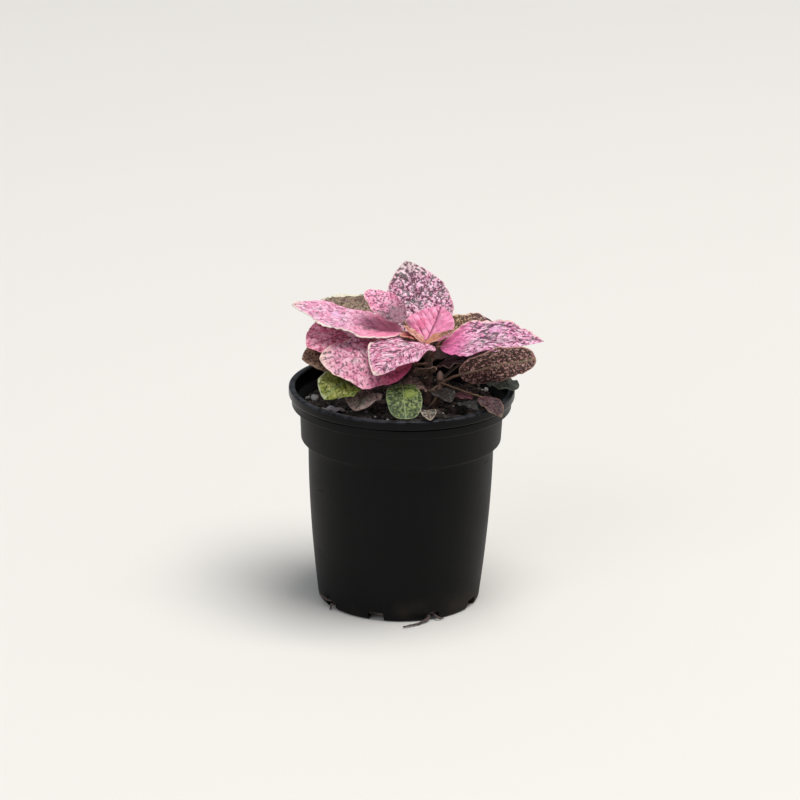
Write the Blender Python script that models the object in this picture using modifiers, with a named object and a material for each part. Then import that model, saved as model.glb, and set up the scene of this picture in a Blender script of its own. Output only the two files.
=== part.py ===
"""A polka dot plant in a black nursery pot: turned pot, soil plug, stems, roots, and one node for each leaf.

The origin is the middle of the pot's underside, +Z is up and -Y is the side that the plant shows best.
Sizes and places are in millimetres here, and the scene is in metres.
"""

import math

import bmesh
import bpy
from mathutils import Matrix, Vector, noise

MM = 0.001
GAP = 0.3  # clearance between pieces that touch on the real plant
UP = Vector((0, 0, 1))

# Pot: a rolled lip over a ring, a plain band, a step, and a wall that bows down to a flat base.
POT_HEIGHT = 111.0
LIP_RADIUS = 56.5
LIP_HEIGHT = 4.6
LIP_WIDTH = 3.2
LIP_ROUNDING = 0.9
RING_RADIUS = 54.9
RING_HEIGHT = 4.2
RING_ROUNDING = 0.7
RING_DROP = 1.0  # from the lip's lower edge to the ring
BAND_RADIUS = 50.7
BAND_TAPER = 0.6
BAND_BOTTOM = 84.0
WALL_TOP = BAND_BOTTOM - 2
WALL_TOP_RADIUS = 46.4
WALL_FOOT_RADIUS = 41.2
WALL_FOOT = 5.5
WALL_BOW = 1.8  # power of the wall's curve: 1 is straight
WALL_LEVELS = 4
FOOT_CURVE = ((0.9, 1.6), (1.7, 0.5), (2.8, 0.0))  # the rounded foot: distance in from the wall, and height
FLOOR_CURVE = ((1.8, 0.0), (0.5, 1.3))  # the same for the inside, with height above the floor
WALL_THICKNESS = 1.4
BASE_THICKNESS = 1.8
POT_STEPS = 36

# Drain slots through the corner between the wall and the base, counted from -Y towards +X.
SLOT_COUNT = 9
SLOT_FIRST = 24.0
SLOT_WIDTH = 8.0
SLOT_HEIGHT = 4.5
SLOT_INNER_RADIUS = 34.0
SLOT_OUTER_RADIUS = 46.0
SLOT_DEPTH = 2.0  # how far the cutters reach below the base

# Soil
SOIL_LEVEL = 102.0
SOIL_RELIEF = 1.6
SOIL_LUMP = 9.0  # distance between the lumps
SOIL_RADIUS = BAND_RADIUS - WALL_THICKNESS - GAP - 0.1
SOIL_EDGE_FALL = 1.5
SOIL_SHOULDER = 3.0  # depth of the soil's upright rim
SOIL_RINGS = 8
SOIL_STEPS = 36

# Stems: each stands in a plain hole in the soil and bows sideways between its foot and its top.
HOLE_DEPTH = 14.0
HOLE_CLEARANCE = GAP + 0.15
SEAT_CLEARANCE = GAP + 0.15
STEM_START = SOIL_LEVEL + 2  # height where a stem starts to bow
STEM_SIDES = 2  # bevel resolution
JOINT_SWELL = 0.25  # how much thicker a stem is where leaves leave it
JOINT_REACH = 2.0
TIP_TAPER = 1.5  # length of a stem's pointed top
STEMS = {
    "center": dict(foot=(13, 0), top=(11, 1, 134), bow=(1.5, 0.5), radius=1.7, joints=(121, 129)),
    "left": dict(foot=(-16, 10), top=(-21, 11, 131), bow=(-1, 1), radius=1.5, joints=(115, 124)),
    "right": dict(foot=(17, -8), top=(19, -9, 122), bow=(0.5, -1), radius=1.5, joints=(112, 118)),
    "front": dict(foot=(-3, -13), top=(-5, -15, 116), bow=(-1, 0), radius=1.3, joints=(110,)),
    "back": dict(foot=(5, 22), top=(7, 26, 132), bow=(-1, 1), radius=1.5, joints=(114, 124)),
}

# Leaves. stem and seat say where the stalk starts, base and tip are the blade's ends, arch is how far its
# midrib bows up, roll (degrees) lifts its right margin as seen along the midrib, fold lifts both margins,
# point is how sharp its tip is, and wave and phase make its margins undulate.
LEAVES = {
    "leaf_top_back": dict(stem="center", seat=126, base=(14, 12, 132.3), tip=(1, 35, 165.5), width=34.5,
                          arch=-2, roll=12, fold=0.1, point=0.8, wave=1.0, phase=0.1, colour="pink"),
    "leaf_young": dict(stem="center", seat=132.5, base=(12, 4, 135.5), tip=(19, 14.5, 148.5), width=27,
                       arch=-1, roll=0, fold=0.25, point=0.8, wave=0.4, phase=0.3, colour="young"),
    "leaf_bud_left": dict(stem="center", seat=132.3, base=(9.3, -2.2, 137), tip=(0.5, -1.5, 143), width=5,
                          arch=0, roll=10, fold=0.2, point=0.8, wave=0.2, phase=0.3, colour="tan"),
    "leaf_bud_low": dict(stem="center", seat=130.3, base=(5.5, -2.2, 137.2), tip=(-1.5, -4.5, 139), width=6,
                         arch=0.5, roll=10, fold=0.2, point=0.8, wave=0.2, phase=0.6, colour="tan"),
    "leaf_bud_right": dict(stem="center", seat=131.5, base=(17, -5, 136.5), tip=(27, -5.5, 143), width=5,
                           arch=0, roll=-10, fold=0.2, point=0.8, wave=0.2, phase=0.3, colour="tan"),
    "leaf_front_pink": dict(stem="center", seat=129.5, base=(10.5, -5, 135), tip=(-13.5, -31, 126), width=35,
                            arch=3, roll=-1, fold=0.2, point=0.9, wave=1.0, phase=0.2, colour="pink"),
    "leaf_right": dict(stem="center", seat=127, base=(19, -1, 132), tip=(70, -8, 137), width=34,
                       arch=3, roll=-6, fold=0.08, point=1.0, wave=1.0, phase=0.6, colour="pink"),
    "leaf_left": dict(stem="center", seat=128, base=(-0.5, 3, 138), tip=(-53, 12, 149), width=29,
                      arch=-1.5, roll=3, fold=0.0, point=0.85, wave=1.0, phase=0.0, colour="pink"),
    "leaf_front_left": dict(stem="center", seat=123, base=(5, -11, 126.5), tip=(-41, -12, 128.5), width=40,
                            arch=2, roll=20, fold=-0.15, point=0.7, wave=1.0, phase=0.4, colour="pink"),
    "leaf_right_behind": dict(stem="center", seat=123, base=(22, 13, 132.5), tip=(52, 28, 133), width=27,
                              arch=3, roll=-15, fold=0.05, point=0.9, wave=0.8, phase=0.5, colour="tan"),
    "leaf_back_small": dict(stem="center", seat=131.5, base=(0.5, 3, 143.5), tip=(-19, 14, 156), width=19,
                            arch=1, roll=12, fold=0.05, point=0.7, wave=0.6, phase=0.3, colour="pink"),
    "leaf_left_low": dict(stem="left", seat=124, base=(-26.5, 14, 131), tip=(-47.5, -2, 131), width=27,
                          arch=2, roll=22, fold=0.0, point=0.8, wave=0.8, phase=0.7, colour="crimson"),
    "leaf_left_behind": dict(stem="back", seat=129, base=(-17, 30, 143), tip=(-43, 32, 144), width=18,
                             arch=2, roll=0, fold=0.0, point=0.8, wave=0.6, phase=0.2, colour="tan"),
    "leaf_left_dark": dict(stem="left", seat=115, base=(-30, 8, 122), tip=(-50, 0, 124), width=22,
                           arch=2, roll=30, fold=0.0, point=0.8, wave=0.6, phase=0.2, colour="brown"),
    "leaf_left_green": dict(stem="front", seat=114, base=(-24, -12, 118), tip=(-38, -30, 113), width=24,
                            arch=3, roll=10, fold=0.0, point=0.8, wave=0.8, phase=0.1, colour="green"),
    "leaf_right_low": dict(stem="right", seat=117, base=(28.5, -13, 121.5), tip=(66, -16, 130), width=25,
                           arch=1, roll=54, fold=0.0, point=0.8, wave=0.8, phase=0.4, colour="tan"),
    "leaf_rim_right": dict(stem="right", seat=110, base=(42, -1, 114), tip=(60, -6, 112.5), width=18,
                           arch=1.5, roll=0, fold=0.0, point=0.9, wave=0.8, phase=0.9, colour="grey"),
    "leaf_rim_small": dict(stem="right", seat=116, base=(39, -28, 115), tip=(49, -41, 109), width=11.5,
                           arch=2, roll=0, fold=0.0, point=0.8, wave=0.5, phase=0.4, colour="crimson"),
    "leaf_front_green": dict(stem="front", seat=114, base=(0, -22, 119), tip=(4, -45, 108), width=19,
                             arch=2, roll=0, fold=0.05, point=0.7, wave=0.6, phase=0.1, colour="green"),
    "leaf_rim_front": dict(stem="right", seat=109, base=(12, -39, 111), tip=(14, -57, 112.5), width=8,
                           arch=2, roll=0, fold=0.0, point=0.7, wave=0.3, phase=0.1, colour="tan"),
    "leaf_front_curled": dict(stem="front", seat=109, base=(-15, -12, 111), tip=(-23, -26, 106), width=20,
                              arch=2, roll=0, fold=0.2, point=0.8, wave=0.8, phase=0.6, colour="brown"),
    "leaf_dry": dict(stem=None, base=(-28, -17, 104.5), tip=(-41, -20, 105), width=9,
                     arch=1, roll=-6, fold=0.0, point=0.8, wave=0.6, phase=0.6, colour="dry"),
    "leaf_center_dark": dict(stem="right", seat=114, base=(12, -15, 114), tip=(1, -19, 118), width=14,
                             arch=2, roll=10, fold=0.0, point=0.8, wave=0.6, phase=0.2, colour="brown"),
    "leaf_center_low": dict(stem="right", seat=107, base=(25, -14, 111), tip=(35, -20, 111), width=12,
                            arch=1, roll=0, fold=0.1, point=0.8, wave=0.5, phase=0.5, colour="crimson"),
    "leaf_back_top": dict(stem="back", seat=130, base=(5, 31, 131.5), tip=(9, 55, 130.5), width=30,
                          arch=3, roll=0, fold=0.1, point=0.85, wave=0.9, phase=0.2, colour="pink"),
    "leaf_back_right": dict(stem="back", seat=124, base=(18, 34, 125.5), tip=(42, 50, 125), width=28,
                            arch=3, roll=0, fold=0.08, point=0.85, wave=0.8, phase=0.6, colour="green"),
    "leaf_back_left": dict(stem="back", seat=124, base=(-8, 33, 126), tip=(-33, 48, 125), width=28,
                           arch=3, roll=0, fold=0.08, point=0.85, wave=0.9, phase=0.9, colour="pink"),
    "leaf_back_low": dict(stem="back", seat=113, base=(0, 36, 118), tip=(-8, 57, 114), width=18,
                          arch=3, roll=0, fold=0.1, point=0.85, wave=0.7, phase=0.4, colour="green"),
    "leaf_back_rim": dict(stem="back", seat=113, base=(22, 32, 117), tip=(42, 42, 113), width=18,
                          arch=3, roll=0, fold=0.1, point=0.85, wave=0.7, phase=0.1, colour="brown"),
    "leaf_left_back": dict(stem="left", seat=115, base=(-30, 18, 120), tip=(-46, 34, 116), width=20,
                           arch=3, roll=0, fold=0.1, point=0.85, wave=0.8, phase=0.7, colour="green"),
    "leaf_right_back": dict(stem="right", seat=118, base=(34, 7, 124), tip=(57, 17, 124), width=24,
                            arch=3, roll=0, fold=0.1, point=0.85, wave=0.8, phase=0.3, colour="brown"),
    "leaf_left_inner": dict(stem="center", seat=125, base=(0, 14, 131.5), tip=(-30, 26, 131), width=20,
                            arch=2, roll=0, fold=0.0, point=0.8, wave=0.7, phase=0.4, colour="brown"),
    "leaf_back_inner": dict(stem="back", seat=120, base=(12, 22, 124), tip=(30, 12, 124), width=18,
                            arch=2, roll=0, fold=0.05, point=0.8, wave=0.7, phase=0.8, colour="green"),
    "leaf_center_shade": dict(stem="center", seat=119, base=(18, -3, 122.5), tip=(30, -6, 125.5), width=16,
                              arch=1, roll=0, fold=0.05, point=0.8, wave=0.6, phase=0.3, colour="brown"),
    "leaf_center_brown": dict(stem="right", seat=112, base=(16, -21, 115.5), tip=(24, -36, 114.5), width=13,
                              arch=2, roll=0, fold=0.05, point=0.8, wave=0.6, phase=0.7, colour="brown"),
    "leaf_right_shade": dict(stem="right", seat=112, base=(29, -25, 110.5), tip=(38, -38, 111), width=11,
                             arch=2, roll=0, fold=0.0, point=0.8, wave=0.6, phase=0.2, colour="grey"),
    "leaf_center_front": dict(stem="center", seat=116, base=(10.5, -9.5, 119.5), tip=(13, -19, 126.5),
                              width=12, arch=1, roll=0, fold=0.1, point=0.8, wave=0.6, phase=0.1, colour="brown"),
}

# Blade and stalk
BLADE_THICKNESS = 0.8
STALK_WIDTH = 1.8
STALK_STEPS = 4
TIP_WIDTH = 1.2
LARGE_WIDTH = 23.0  # blades at least this wide get the finer grid
LARGE_GRID = (6, 11)
SMALL_GRID = (4, 7)
BASE_POWER = 0.6
WAVES = 2.6  # undulations along a margin
WAVE_SHIFT = 0.4  # how far the right margin's undulations lag the left's
STALK_RISE = 0.45  # how long a stalk heads along its blade, as a share of its length
ROW_CROWDING = 0.09  # how far rows crowd towards the blade's two ends

# Roots: each runs from the soil out through a slot, through points of turn (counted like the slots), distance
# from the axis and height.
ROOTS = {
    "root_front": dict(path=[(22, 39.4, 2.6), (21, 42, 1.9), (13, 45.5, 1.0), (3, 49, 1.0)], radius=0.8),
    "root_front_short": dict(path=[(27, 39.4, 2.4), (28, 42, 1.6), (32, 43, 0.9)], radius=0.7),
    "root_left": dict(path=[(-54, 39.4, 2.6), (-54, 41.6, 2.4), (-52, 43.2, 1.0)], radius=0.8),
    "root_left_short": dict(path=[(-59, 39.4, 3.2), (-62, 42.3, 4.2), (-67.5, 43, 5.4)], radius=0.7),
}

COLOURS = {
    "plastic": (0.012, 0.012, 0.013),
    "soil": (0.018, 0.012, 0.009),
    "stem": (0.13, 0.10, 0.07),
    "root": (0.62, 0.54, 0.43),
    "pink": (0.80, 0.30, 0.46),
    "young": (0.88, 0.27, 0.42),
    "crimson": (0.62, 0.08, 0.20),
    "tan": (0.50, 0.31, 0.20),
    "brown": (0.22, 0.12, 0.09),
    "green": (0.17, 0.28, 0.07),
    "grey": (0.16, 0.17, 0.13),
    "dry": (0.30, 0.22, 0.22),
}


def material(name, roughness):
    """Principled material in one of the plant's colours."""
    made = bpy.data.materials.new(name)
    made.use_nodes = True
    shader = made.node_tree.nodes["Principled BSDF"]
    shader.inputs["Base Color"].default_value = (*COLOURS[name], 1)
    shader.inputs["Roughness"].default_value = roughness
    shader.inputs["Metallic"].default_value = 0.0
    return made


def add_mesh_object(name, bm, collection, finish=None):
    """Turn a bmesh in millimetres into an object in metres."""
    bmesh.ops.scale(bm, vec=(MM, MM, MM), verts=bm.verts)
    mesh = bpy.data.meshes.new(name)
    bm.to_mesh(mesh)
    bm.free()
    made = bpy.data.objects.new(name, mesh)
    collection.objects.link(made)
    if finish:
        mesh.materials.append(finish)
    return made


def add_profile(name, points, steps, collection, finish):
    """Turn a profile of (radius, height) points about Z; it runs down the outer side."""
    bm = bmesh.new()
    corners = [bm.verts.new((radius, 0, height)) for radius, height in points]
    for first, second in zip(corners, corners[1:]):
        bm.edges.new((first, second))
    made = add_mesh_object(name, bm, collection, finish)
    screw = made.modifiers.new("Turn", "SCREW")
    screw.axis = "Z"
    screw.steps = steps
    screw.render_steps = steps
    screw.use_merge_vertices = True
    screw.merge_threshold = 0.00001
    return made


def polar(turn, radius, height):
    """Point at a turn in degrees from -Y towards +X, at a distance from the axis."""
    angle = math.radians(turn)
    return Vector((radius * math.sin(angle), -radius * math.cos(angle), height))


def wall_radius(height):
    """Outer radius of the pot's wall between its foot and the step."""
    share = (height - WALL_FOOT) / (WALL_TOP - WALL_FOOT)
    return WALL_FOOT_RADIUS + (WALL_TOP_RADIUS - WALL_FOOT_RADIUS) * (1 - (1 - share) ** WALL_BOW)


def wall_line(inset):
    """Points up the wall from its foot to the step, moved in by inset."""
    rise = (WALL_TOP - WALL_FOOT) / WALL_LEVELS
    heights = [WALL_FOOT + rise * level for level in range(WALL_LEVELS + 1)]
    return [(wall_radius(height) - inset, height) for height in heights]


def inner_line(inset):
    """Points up the pot's inside from the base's corner to the band's top, moved in by inset."""
    wall = wall_line(WALL_THICKNESS + inset)
    foot = [(wall[0][0] - inward, BASE_THICKNESS + inset + height) for inward, height in FLOOR_CURVE]
    band_inside = BAND_RADIUS - WALL_THICKNESS - inset
    step = [(band_inside - BAND_TAPER - 0.6, BAND_BOTTOM - 0.2 + inset),
            (band_inside - BAND_TAPER, BAND_BOTTOM + 0.8 + inset)]
    return foot + wall + step


def make_pot(collection, cutters):
    lip_bottom = POT_HEIGHT - LIP_HEIGHT
    ring_bottom = lip_bottom - RING_DROP - RING_HEIGHT
    lip_inside = LIP_RADIUS - LIP_WIDTH
    band_inside = BAND_RADIUS - WALL_THICKNESS
    inside = [(0, BASE_THICKNESS)] + inner_line(0) + [
        (band_inside, ring_bottom - 0.8),
        (band_inside + 0.6, ring_bottom + 0.6),
        (lip_inside - 0.4, ring_bottom + 2.2),
        (lip_inside, ring_bottom + 3.2),
        (lip_inside, POT_HEIGHT - LIP_ROUNDING),
    ]
    lip = [
        (lip_inside + LIP_ROUNDING, POT_HEIGHT),
        (LIP_RADIUS - LIP_ROUNDING, POT_HEIGHT),
        (LIP_RADIUS, POT_HEIGHT - LIP_ROUNDING),
        (LIP_RADIUS, lip_bottom + LIP_ROUNDING),
        (LIP_RADIUS - LIP_ROUNDING, lip_bottom),
        (RING_RADIUS - RING_ROUNDING, lip_bottom - RING_DROP / 3),
    ]
    ring = [
        (RING_RADIUS, lip_bottom - RING_DROP),
        (RING_RADIUS, ring_bottom + RING_ROUNDING),
        (RING_RADIUS - RING_ROUNDING, ring_bottom),
        (BAND_RADIUS + RING_ROUNDING, ring_bottom - RING_ROUNDING),
        (BAND_RADIUS, ring_bottom - 1.8),
    ]
    outside = [(BAND_RADIUS - BAND_TAPER, BAND_BOTTOM + 0.5), (BAND_RADIUS - BAND_TAPER - 0.5, BAND_BOTTOM)]
    outside += [(WALL_TOP_RADIUS + 0.5, WALL_TOP + 0.8)] + wall_line(0)[::-1]
    base = [(WALL_FOOT_RADIUS - inward, height) for inward, height in FOOT_CURVE] + [(0, 0)]
    pot = add_profile("pot", inside + lip + ring + outside + base, POT_STEPS, collection,
                      material("plastic", 0.38))
    slots = make_slot_cutter(cutters)
    cut = pot.modifiers.new("Drain slots", "BOOLEAN")
    cut.operation = "DIFFERENCE"
    cut.object = slots
    return pot


def make_slot_cutter(cutters):
    """Ring of boxes that cut the drain slots; they don't touch each other."""
    length = SLOT_OUTER_RADIUS - SLOT_INNER_RADIUS
    middle = Vector((0, -(SLOT_INNER_RADIUS + SLOT_OUTER_RADIUS) / 2, (SLOT_HEIGHT - SLOT_DEPTH) / 2))
    size = Matrix.Diagonal((SLOT_WIDTH, length, SLOT_HEIGHT + SLOT_DEPTH, 1))
    bm = bmesh.new()
    for number in range(SLOT_COUNT):
        angle = math.radians(SLOT_FIRST + number * 360 / SLOT_COUNT)
        turn = Matrix.Rotation(angle, 4, "Z")
        bmesh.ops.create_cube(bm, size=1, matrix=turn @ Matrix.Translation(middle) @ size)
    made = add_mesh_object("slot_cutter", bm, cutters)
    made.hide_render = True
    made.display_type = "WIRE"
    return made


def soil_top(x, y):
    """Height of the soil's lumpy top, which sinks towards the pot's wall."""
    lump = noise.noise(Vector((x, y, 0)) / SOIL_LUMP) + 0.5 * noise.noise(Vector((y, x, 7)) * 2.1 / SOIL_LUMP)
    sunk = SOIL_EDGE_FALL * (math.hypot(x, y) / SOIL_RADIUS) ** 8
    return SOIL_LEVEL + SOIL_RELIEF * lump - sunk


def make_soil(collection, cutters):
    side = inner_line(GAP)
    rings = [(SOIL_RADIUS * ring / SOIL_RINGS, SOIL_LEVEL) for ring in range(SOIL_RINGS + 1)]
    bm = bmesh.new()
    points = rings + [(SOIL_RADIUS, SOIL_LEVEL - SOIL_SHOULDER)] + side[::-1] + [(0, BASE_THICKNESS + GAP)]
    corners = [bm.verts.new((radius, 0, height)) for radius, height in points]
    edges = [bm.edges.new(pair) for pair in zip(corners, corners[1:])]
    bmesh.ops.spin(bm, geom=corners + edges, cent=(0, 0, 0), axis=(0, 0, 1), angle=math.tau, steps=SOIL_STEPS,
                   use_merge=True)
    bmesh.ops.remove_doubles(bm, verts=bm.verts, dist=0.01)
    for vert in bm.verts:
        if vert.co.z > SOIL_LEVEL - 1:
            vert.co.z = soil_top(vert.co.x, vert.co.y)
    bmesh.ops.recalc_face_normals(bm, faces=bm.faces)
    soil = add_mesh_object("soil", bm, collection, material("soil", 0.95))
    cut = soil.modifiers.new("Stem holes", "BOOLEAN")
    cut.operation = "DIFFERENCE"
    cut.object = make_hole_cutter(cutters)
    return soil


def make_hole_cutter(cutters):
    """Plain upright holes for the feet of the stems."""
    bm = bmesh.new()
    bottom = SOIL_LEVEL - HOLE_DEPTH - GAP
    height = HOLE_DEPTH + 10
    for stem in STEMS.values():
        place = Matrix.Translation((*stem["foot"], bottom + height / 2))
        hole = stem["radius"] + HOLE_CLEARANCE
        bmesh.ops.create_cone(bm, cap_ends=True, segments=12, radius1=hole, radius2=hole, depth=height,
                              matrix=place)
    made = add_mesh_object("hole_cutter", bm, cutters)
    made.hide_render = True
    made.display_type = "WIRE"
    return made


def stem_axis(stem, height):
    """Point on a stem's axis: upright in its hole, then bowing to its top."""
    foot_x, foot_y = stem["foot"]
    top = Vector(stem["top"])
    if height <= STEM_START:
        return Vector((foot_x, foot_y, height))
    share = (height - STEM_START) / (top.z - STEM_START)
    bow = 4 * share * (1 - share)
    x = foot_x + (top.x - foot_x) * share + stem["bow"][0] * bow
    y = foot_y + (top.y - foot_y) * share + stem["bow"][1] * bow
    return Vector((x, y, height))


def stem_radius(stem, height):
    """A stem's radius at a height: thicker at its joints, thin at its top."""
    swell = max(1 - abs(height - joint) / JOINT_REACH for joint in stem["joints"])
    taper = min((stem["top"][2] - height) / TIP_TAPER, 1)
    return stem["radius"] * (1 + JOINT_SWELL * max(swell, 0)) * (0.4 + 0.6 * taper)


def make_tube(name, points, thickness, collection, finish):
    """Poly curve through the points, with one thickness for each."""
    curve = bpy.data.curves.new(name, "CURVE")
    curve.dimensions = "3D"
    curve.bevel_depth = MM
    curve.bevel_resolution = STEM_SIDES
    curve.use_fill_caps = True
    spline = curve.splines.new("POLY")
    spline.points.add(len(points) - 1)
    for knot, point, radius in zip(spline.points, points, thickness):
        knot.co = (*(Vector(point) * MM), 1)
        knot.radius = radius
    curve.materials.append(finish)
    made = bpy.data.objects.new(name, curve)
    collection.objects.link(made)
    return made


def make_stem(name, stem, collection, finish):
    top = stem["top"][2]
    heights = {SOIL_LEVEL - HOLE_DEPTH, SOIL_LEVEL + 1, top - TIP_TAPER, top}
    for joint in stem["joints"]:
        heights |= {joint - JOINT_REACH, joint, joint + JOINT_REACH}
    heights = sorted(heights)
    points = [stem_axis(stem, height) for height in heights]
    thickness = [stem_radius(stem, height) for height in heights]
    return make_tube("stem_" + name, points, thickness, collection, finish)


def outline(share, point):
    """Half-width of a blade from its base (0) to its tip (1), at most 1."""
    peak = BASE_POWER / (BASE_POWER + point)
    most = peak ** BASE_POWER * (1 - peak) ** point
    return share ** BASE_POWER * (1 - share) ** point / most


def bend(start, control, end, share):
    """Point on a curve from start to end that heads for control."""
    return start * (1 - share) ** 2 + control * (2 * share * (1 - share)) + end * share ** 2


def bend_slope(start, control, end, share):
    return ((control - start) * (1 - share) + (end - control) * share).normalized()


def blade_frame(leaf):
    """Base, control point and tip of the midrib, and the direction across the blade."""
    base = Vector(leaf["base"])
    tip = Vector(leaf["tip"])
    along = (tip - base).normalized()
    level = along.cross(UP).normalized()
    roll = math.radians(leaf["roll"])
    across = level * math.cos(roll) + level.cross(along) * math.sin(roll)
    control = (base + tip) / 2 + across.cross(along) * 2 * leaf["arch"]
    return base, control, tip, across


def blade_point(leaf, frame, base_width, share, side):
    """Point of a blade at a share of its length and from its left (-1) to its right (1) margin."""
    base, control, tip, across = frame
    slope = bend_slope(base, control, tip, share)
    normal = across.cross(slope).normalized()
    narrowest = (base_width * (1 - share) + TIP_WIDTH * share) / 2
    half = max(leaf["width"] / 2 * outline(share, leaf["point"]), narrowest)
    fade = math.sin(math.pi * min(max(share, 0), 1))
    ripple = math.sin(math.tau * (WAVES * share + leaf["phase"] + (WAVE_SHIFT if side > 0 else 0)))
    lift = leaf["fold"] * half * abs(side) * fade + leaf["wave"] * side * side * ripple * fade
    return bend(base, control, tip, share) + across * half * side + normal * lift


def stalk_path(leaf, frame):
    """Seat, control point and end of a leaf's stalk."""
    stem = STEMS[leaf["stem"]]
    base, control, tip, across = frame
    axis = stem_axis(stem, leaf["seat"])
    outward = base - axis
    outward.z = 0
    reach = stem_radius(stem, leaf["seat"]) + SEAT_CLEARANCE + BLADE_THICKNESS / 2
    seat = axis + outward.normalized() * reach
    turn = base - bend_slope(base, control, tip, 0) * STALK_RISE * (base - seat).length
    return seat, turn, base


def make_leaf(name, leaf, collection, finish):
    """Blade from a bent grid, with a flat stalk drawn out of its base to the stem."""
    columns, rows = LARGE_GRID if leaf["width"] >= LARGE_WIDTH else SMALL_GRID
    frame = blade_frame(leaf)
    bm = bmesh.new()
    bmesh.ops.create_grid(bm, x_segments=columns, y_segments=rows, size=1)
    base_width = STALK_WIDTH * columns / 2
    base_verts = []
    for vert in bm.verts:
        side, share = vert.co.x, (vert.co.y + 1) / 2
        if share < 0.001 and abs(side) < 2.01 / columns:
            base_verts.append(vert)
        share -= ROW_CROWDING * math.sin(math.tau * share)
        vert.co = blade_point(leaf, frame, base_width, share, side)
    if leaf["stem"]:
        draw_stalk(bm, base_verts, leaf, frame)
    else:
        lowest = min(vert.co.z - soil_top(vert.co.x, vert.co.y) for vert in bm.verts)
        bmesh.ops.translate(bm, vec=UP * (GAP + BLADE_THICKNESS / 2 - lowest), verts=bm.verts)
    bmesh.ops.triangulate(bm, faces=bm.faces)
    made = add_mesh_object(name, bm, collection, finish)
    wall = made.modifiers.new("Thickness", "SOLIDIFY")
    wall.thickness = BLADE_THICKNESS * MM
    wall.offset = 0
    return made


def draw_stalk(bm, base_verts, leaf, frame):
    """Extrude the middle of the blade's base along the stalk's path."""
    seat, turn, end = stalk_path(leaf, frame)
    across = frame[3]
    edges = [edge for edge in bm.edges if all(vert in base_verts for vert in edge.verts)]
    for step in range(1, STALK_STEPS + 1):
        share = 1 - step / STALK_STEPS
        slope = bend_slope(seat, turn, end, share)
        across = (across - slope * across.dot(slope)).normalized()
        grown = bmesh.ops.extrude_edge_only(bm, edges=edges)["geom"]
        edges = [item for item in grown if isinstance(item, bmesh.types.BMEdge)]
        verts = [item for item in grown if isinstance(item, bmesh.types.BMVert)]
        middle = bend(seat, turn, end, share)
        verts.sort(key=lambda vert: vert.co.dot(across))
        for vert, side in zip(verts, (-1, 0, 1)):
            vert.co = middle + across * side * STALK_WIDTH / 2


def main():
    for old in list(bpy.data.objects):
        bpy.data.objects.remove(old, do_unlink=True)
    plant = bpy.data.collections.new("Potted polka dot plant")
    cutters = bpy.data.collections.new("Cutters")
    bpy.context.scene.collection.children.link(plant)
    bpy.context.scene.collection.children.link(cutters)
    make_pot(plant, cutters)
    make_soil(plant, cutters)
    bark = material("stem", 0.6)
    for name, stem in STEMS.items():
        make_stem(name, stem, plant, bark)
    finishes = {}
    for name, leaf in LEAVES.items():
        colour = leaf["colour"]
        if colour not in finishes:
            finishes[colour] = material(colour, 0.5)
        make_leaf(name, leaf, plant, finishes[colour])
    root_finish = material("root", 0.8)
    for name, root in ROOTS.items():
        path = [polar(*point) for point in root["path"]]
        make_tube(name, path, [root["radius"]] * len(path), plant, root_finish)


main()
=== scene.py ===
import math
import random

import bpy
from mathutils import Matrix, Vector, noise


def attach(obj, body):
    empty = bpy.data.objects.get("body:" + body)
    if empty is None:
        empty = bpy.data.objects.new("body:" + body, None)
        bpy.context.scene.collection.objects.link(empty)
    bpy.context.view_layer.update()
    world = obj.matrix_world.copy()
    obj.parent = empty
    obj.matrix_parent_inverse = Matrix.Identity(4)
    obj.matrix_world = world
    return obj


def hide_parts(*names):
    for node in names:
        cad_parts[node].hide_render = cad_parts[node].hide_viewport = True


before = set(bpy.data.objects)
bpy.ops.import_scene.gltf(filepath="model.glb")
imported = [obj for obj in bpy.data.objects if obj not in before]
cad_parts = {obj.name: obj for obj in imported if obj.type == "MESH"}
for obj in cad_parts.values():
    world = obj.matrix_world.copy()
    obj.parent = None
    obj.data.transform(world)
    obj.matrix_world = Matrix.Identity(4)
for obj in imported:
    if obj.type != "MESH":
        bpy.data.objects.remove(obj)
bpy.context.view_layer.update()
bpy.ops.object.select_all(action="DESELECT")
bpy.context.scene.view_settings.view_transform = "Standard"
print("frame loaded:", len(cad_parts), "nodes")

mm = 0.001
cm = 10.0  # millimetres in one unit of a leaf's UV maps
upward = Vector((0, 0, 1))


# Shader helpers. Colours are given as seen on screen, each part from 0 to 255

def linearColour(colour):
    linear = [c / 255 / 12.92 if c <= 10 else ((c / 255 + 0.055) / 1.055) ** 2.4 for c in colour]
    return (*linear, 1.0)


def feed(tree, socket, value):
    if isinstance(value, bpy.types.NodeSocket):
        tree.links.new(value, socket)
    elif socket.type == "RGBA":
        socket.default_value = linearColour(value)
    else:
        socket.default_value = value


def addNode(tree, kind, inputs=None, **settings):
    node = tree.nodes.new("ShaderNode" + kind)
    for setting, value in settings.items():
        setattr(node, setting, value)
    for socket, value in (inputs or {}).items():
        feed(tree, node.inputs[socket], value)
    return node


def calc(tree, operation, *values, clamp=False):
    return addNode(tree, "Math", dict(enumerate(values)), operation=operation, use_clamp=clamp).outputs[0]


def times(tree, first, second, extra=None):
    # the product of two values, plus a third where one is given
    if extra is None:
        return calc(tree, "MULTIPLY", first, second)
    return calc(tree, "MULTIPLY_ADD", first, second, extra)


def calcVector(tree, operation, first, second):
    inputs = {0: first, "Scale" if operation == "SCALE" else 1: second}
    return addNode(tree, "VectorMath", inputs, operation=operation).outputs[0]


def dotProduct(tree, first, second):
    return addNode(tree, "VectorMath", {0: first, 1: second}, operation="DOT_PRODUCT").outputs["Value"]


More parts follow.
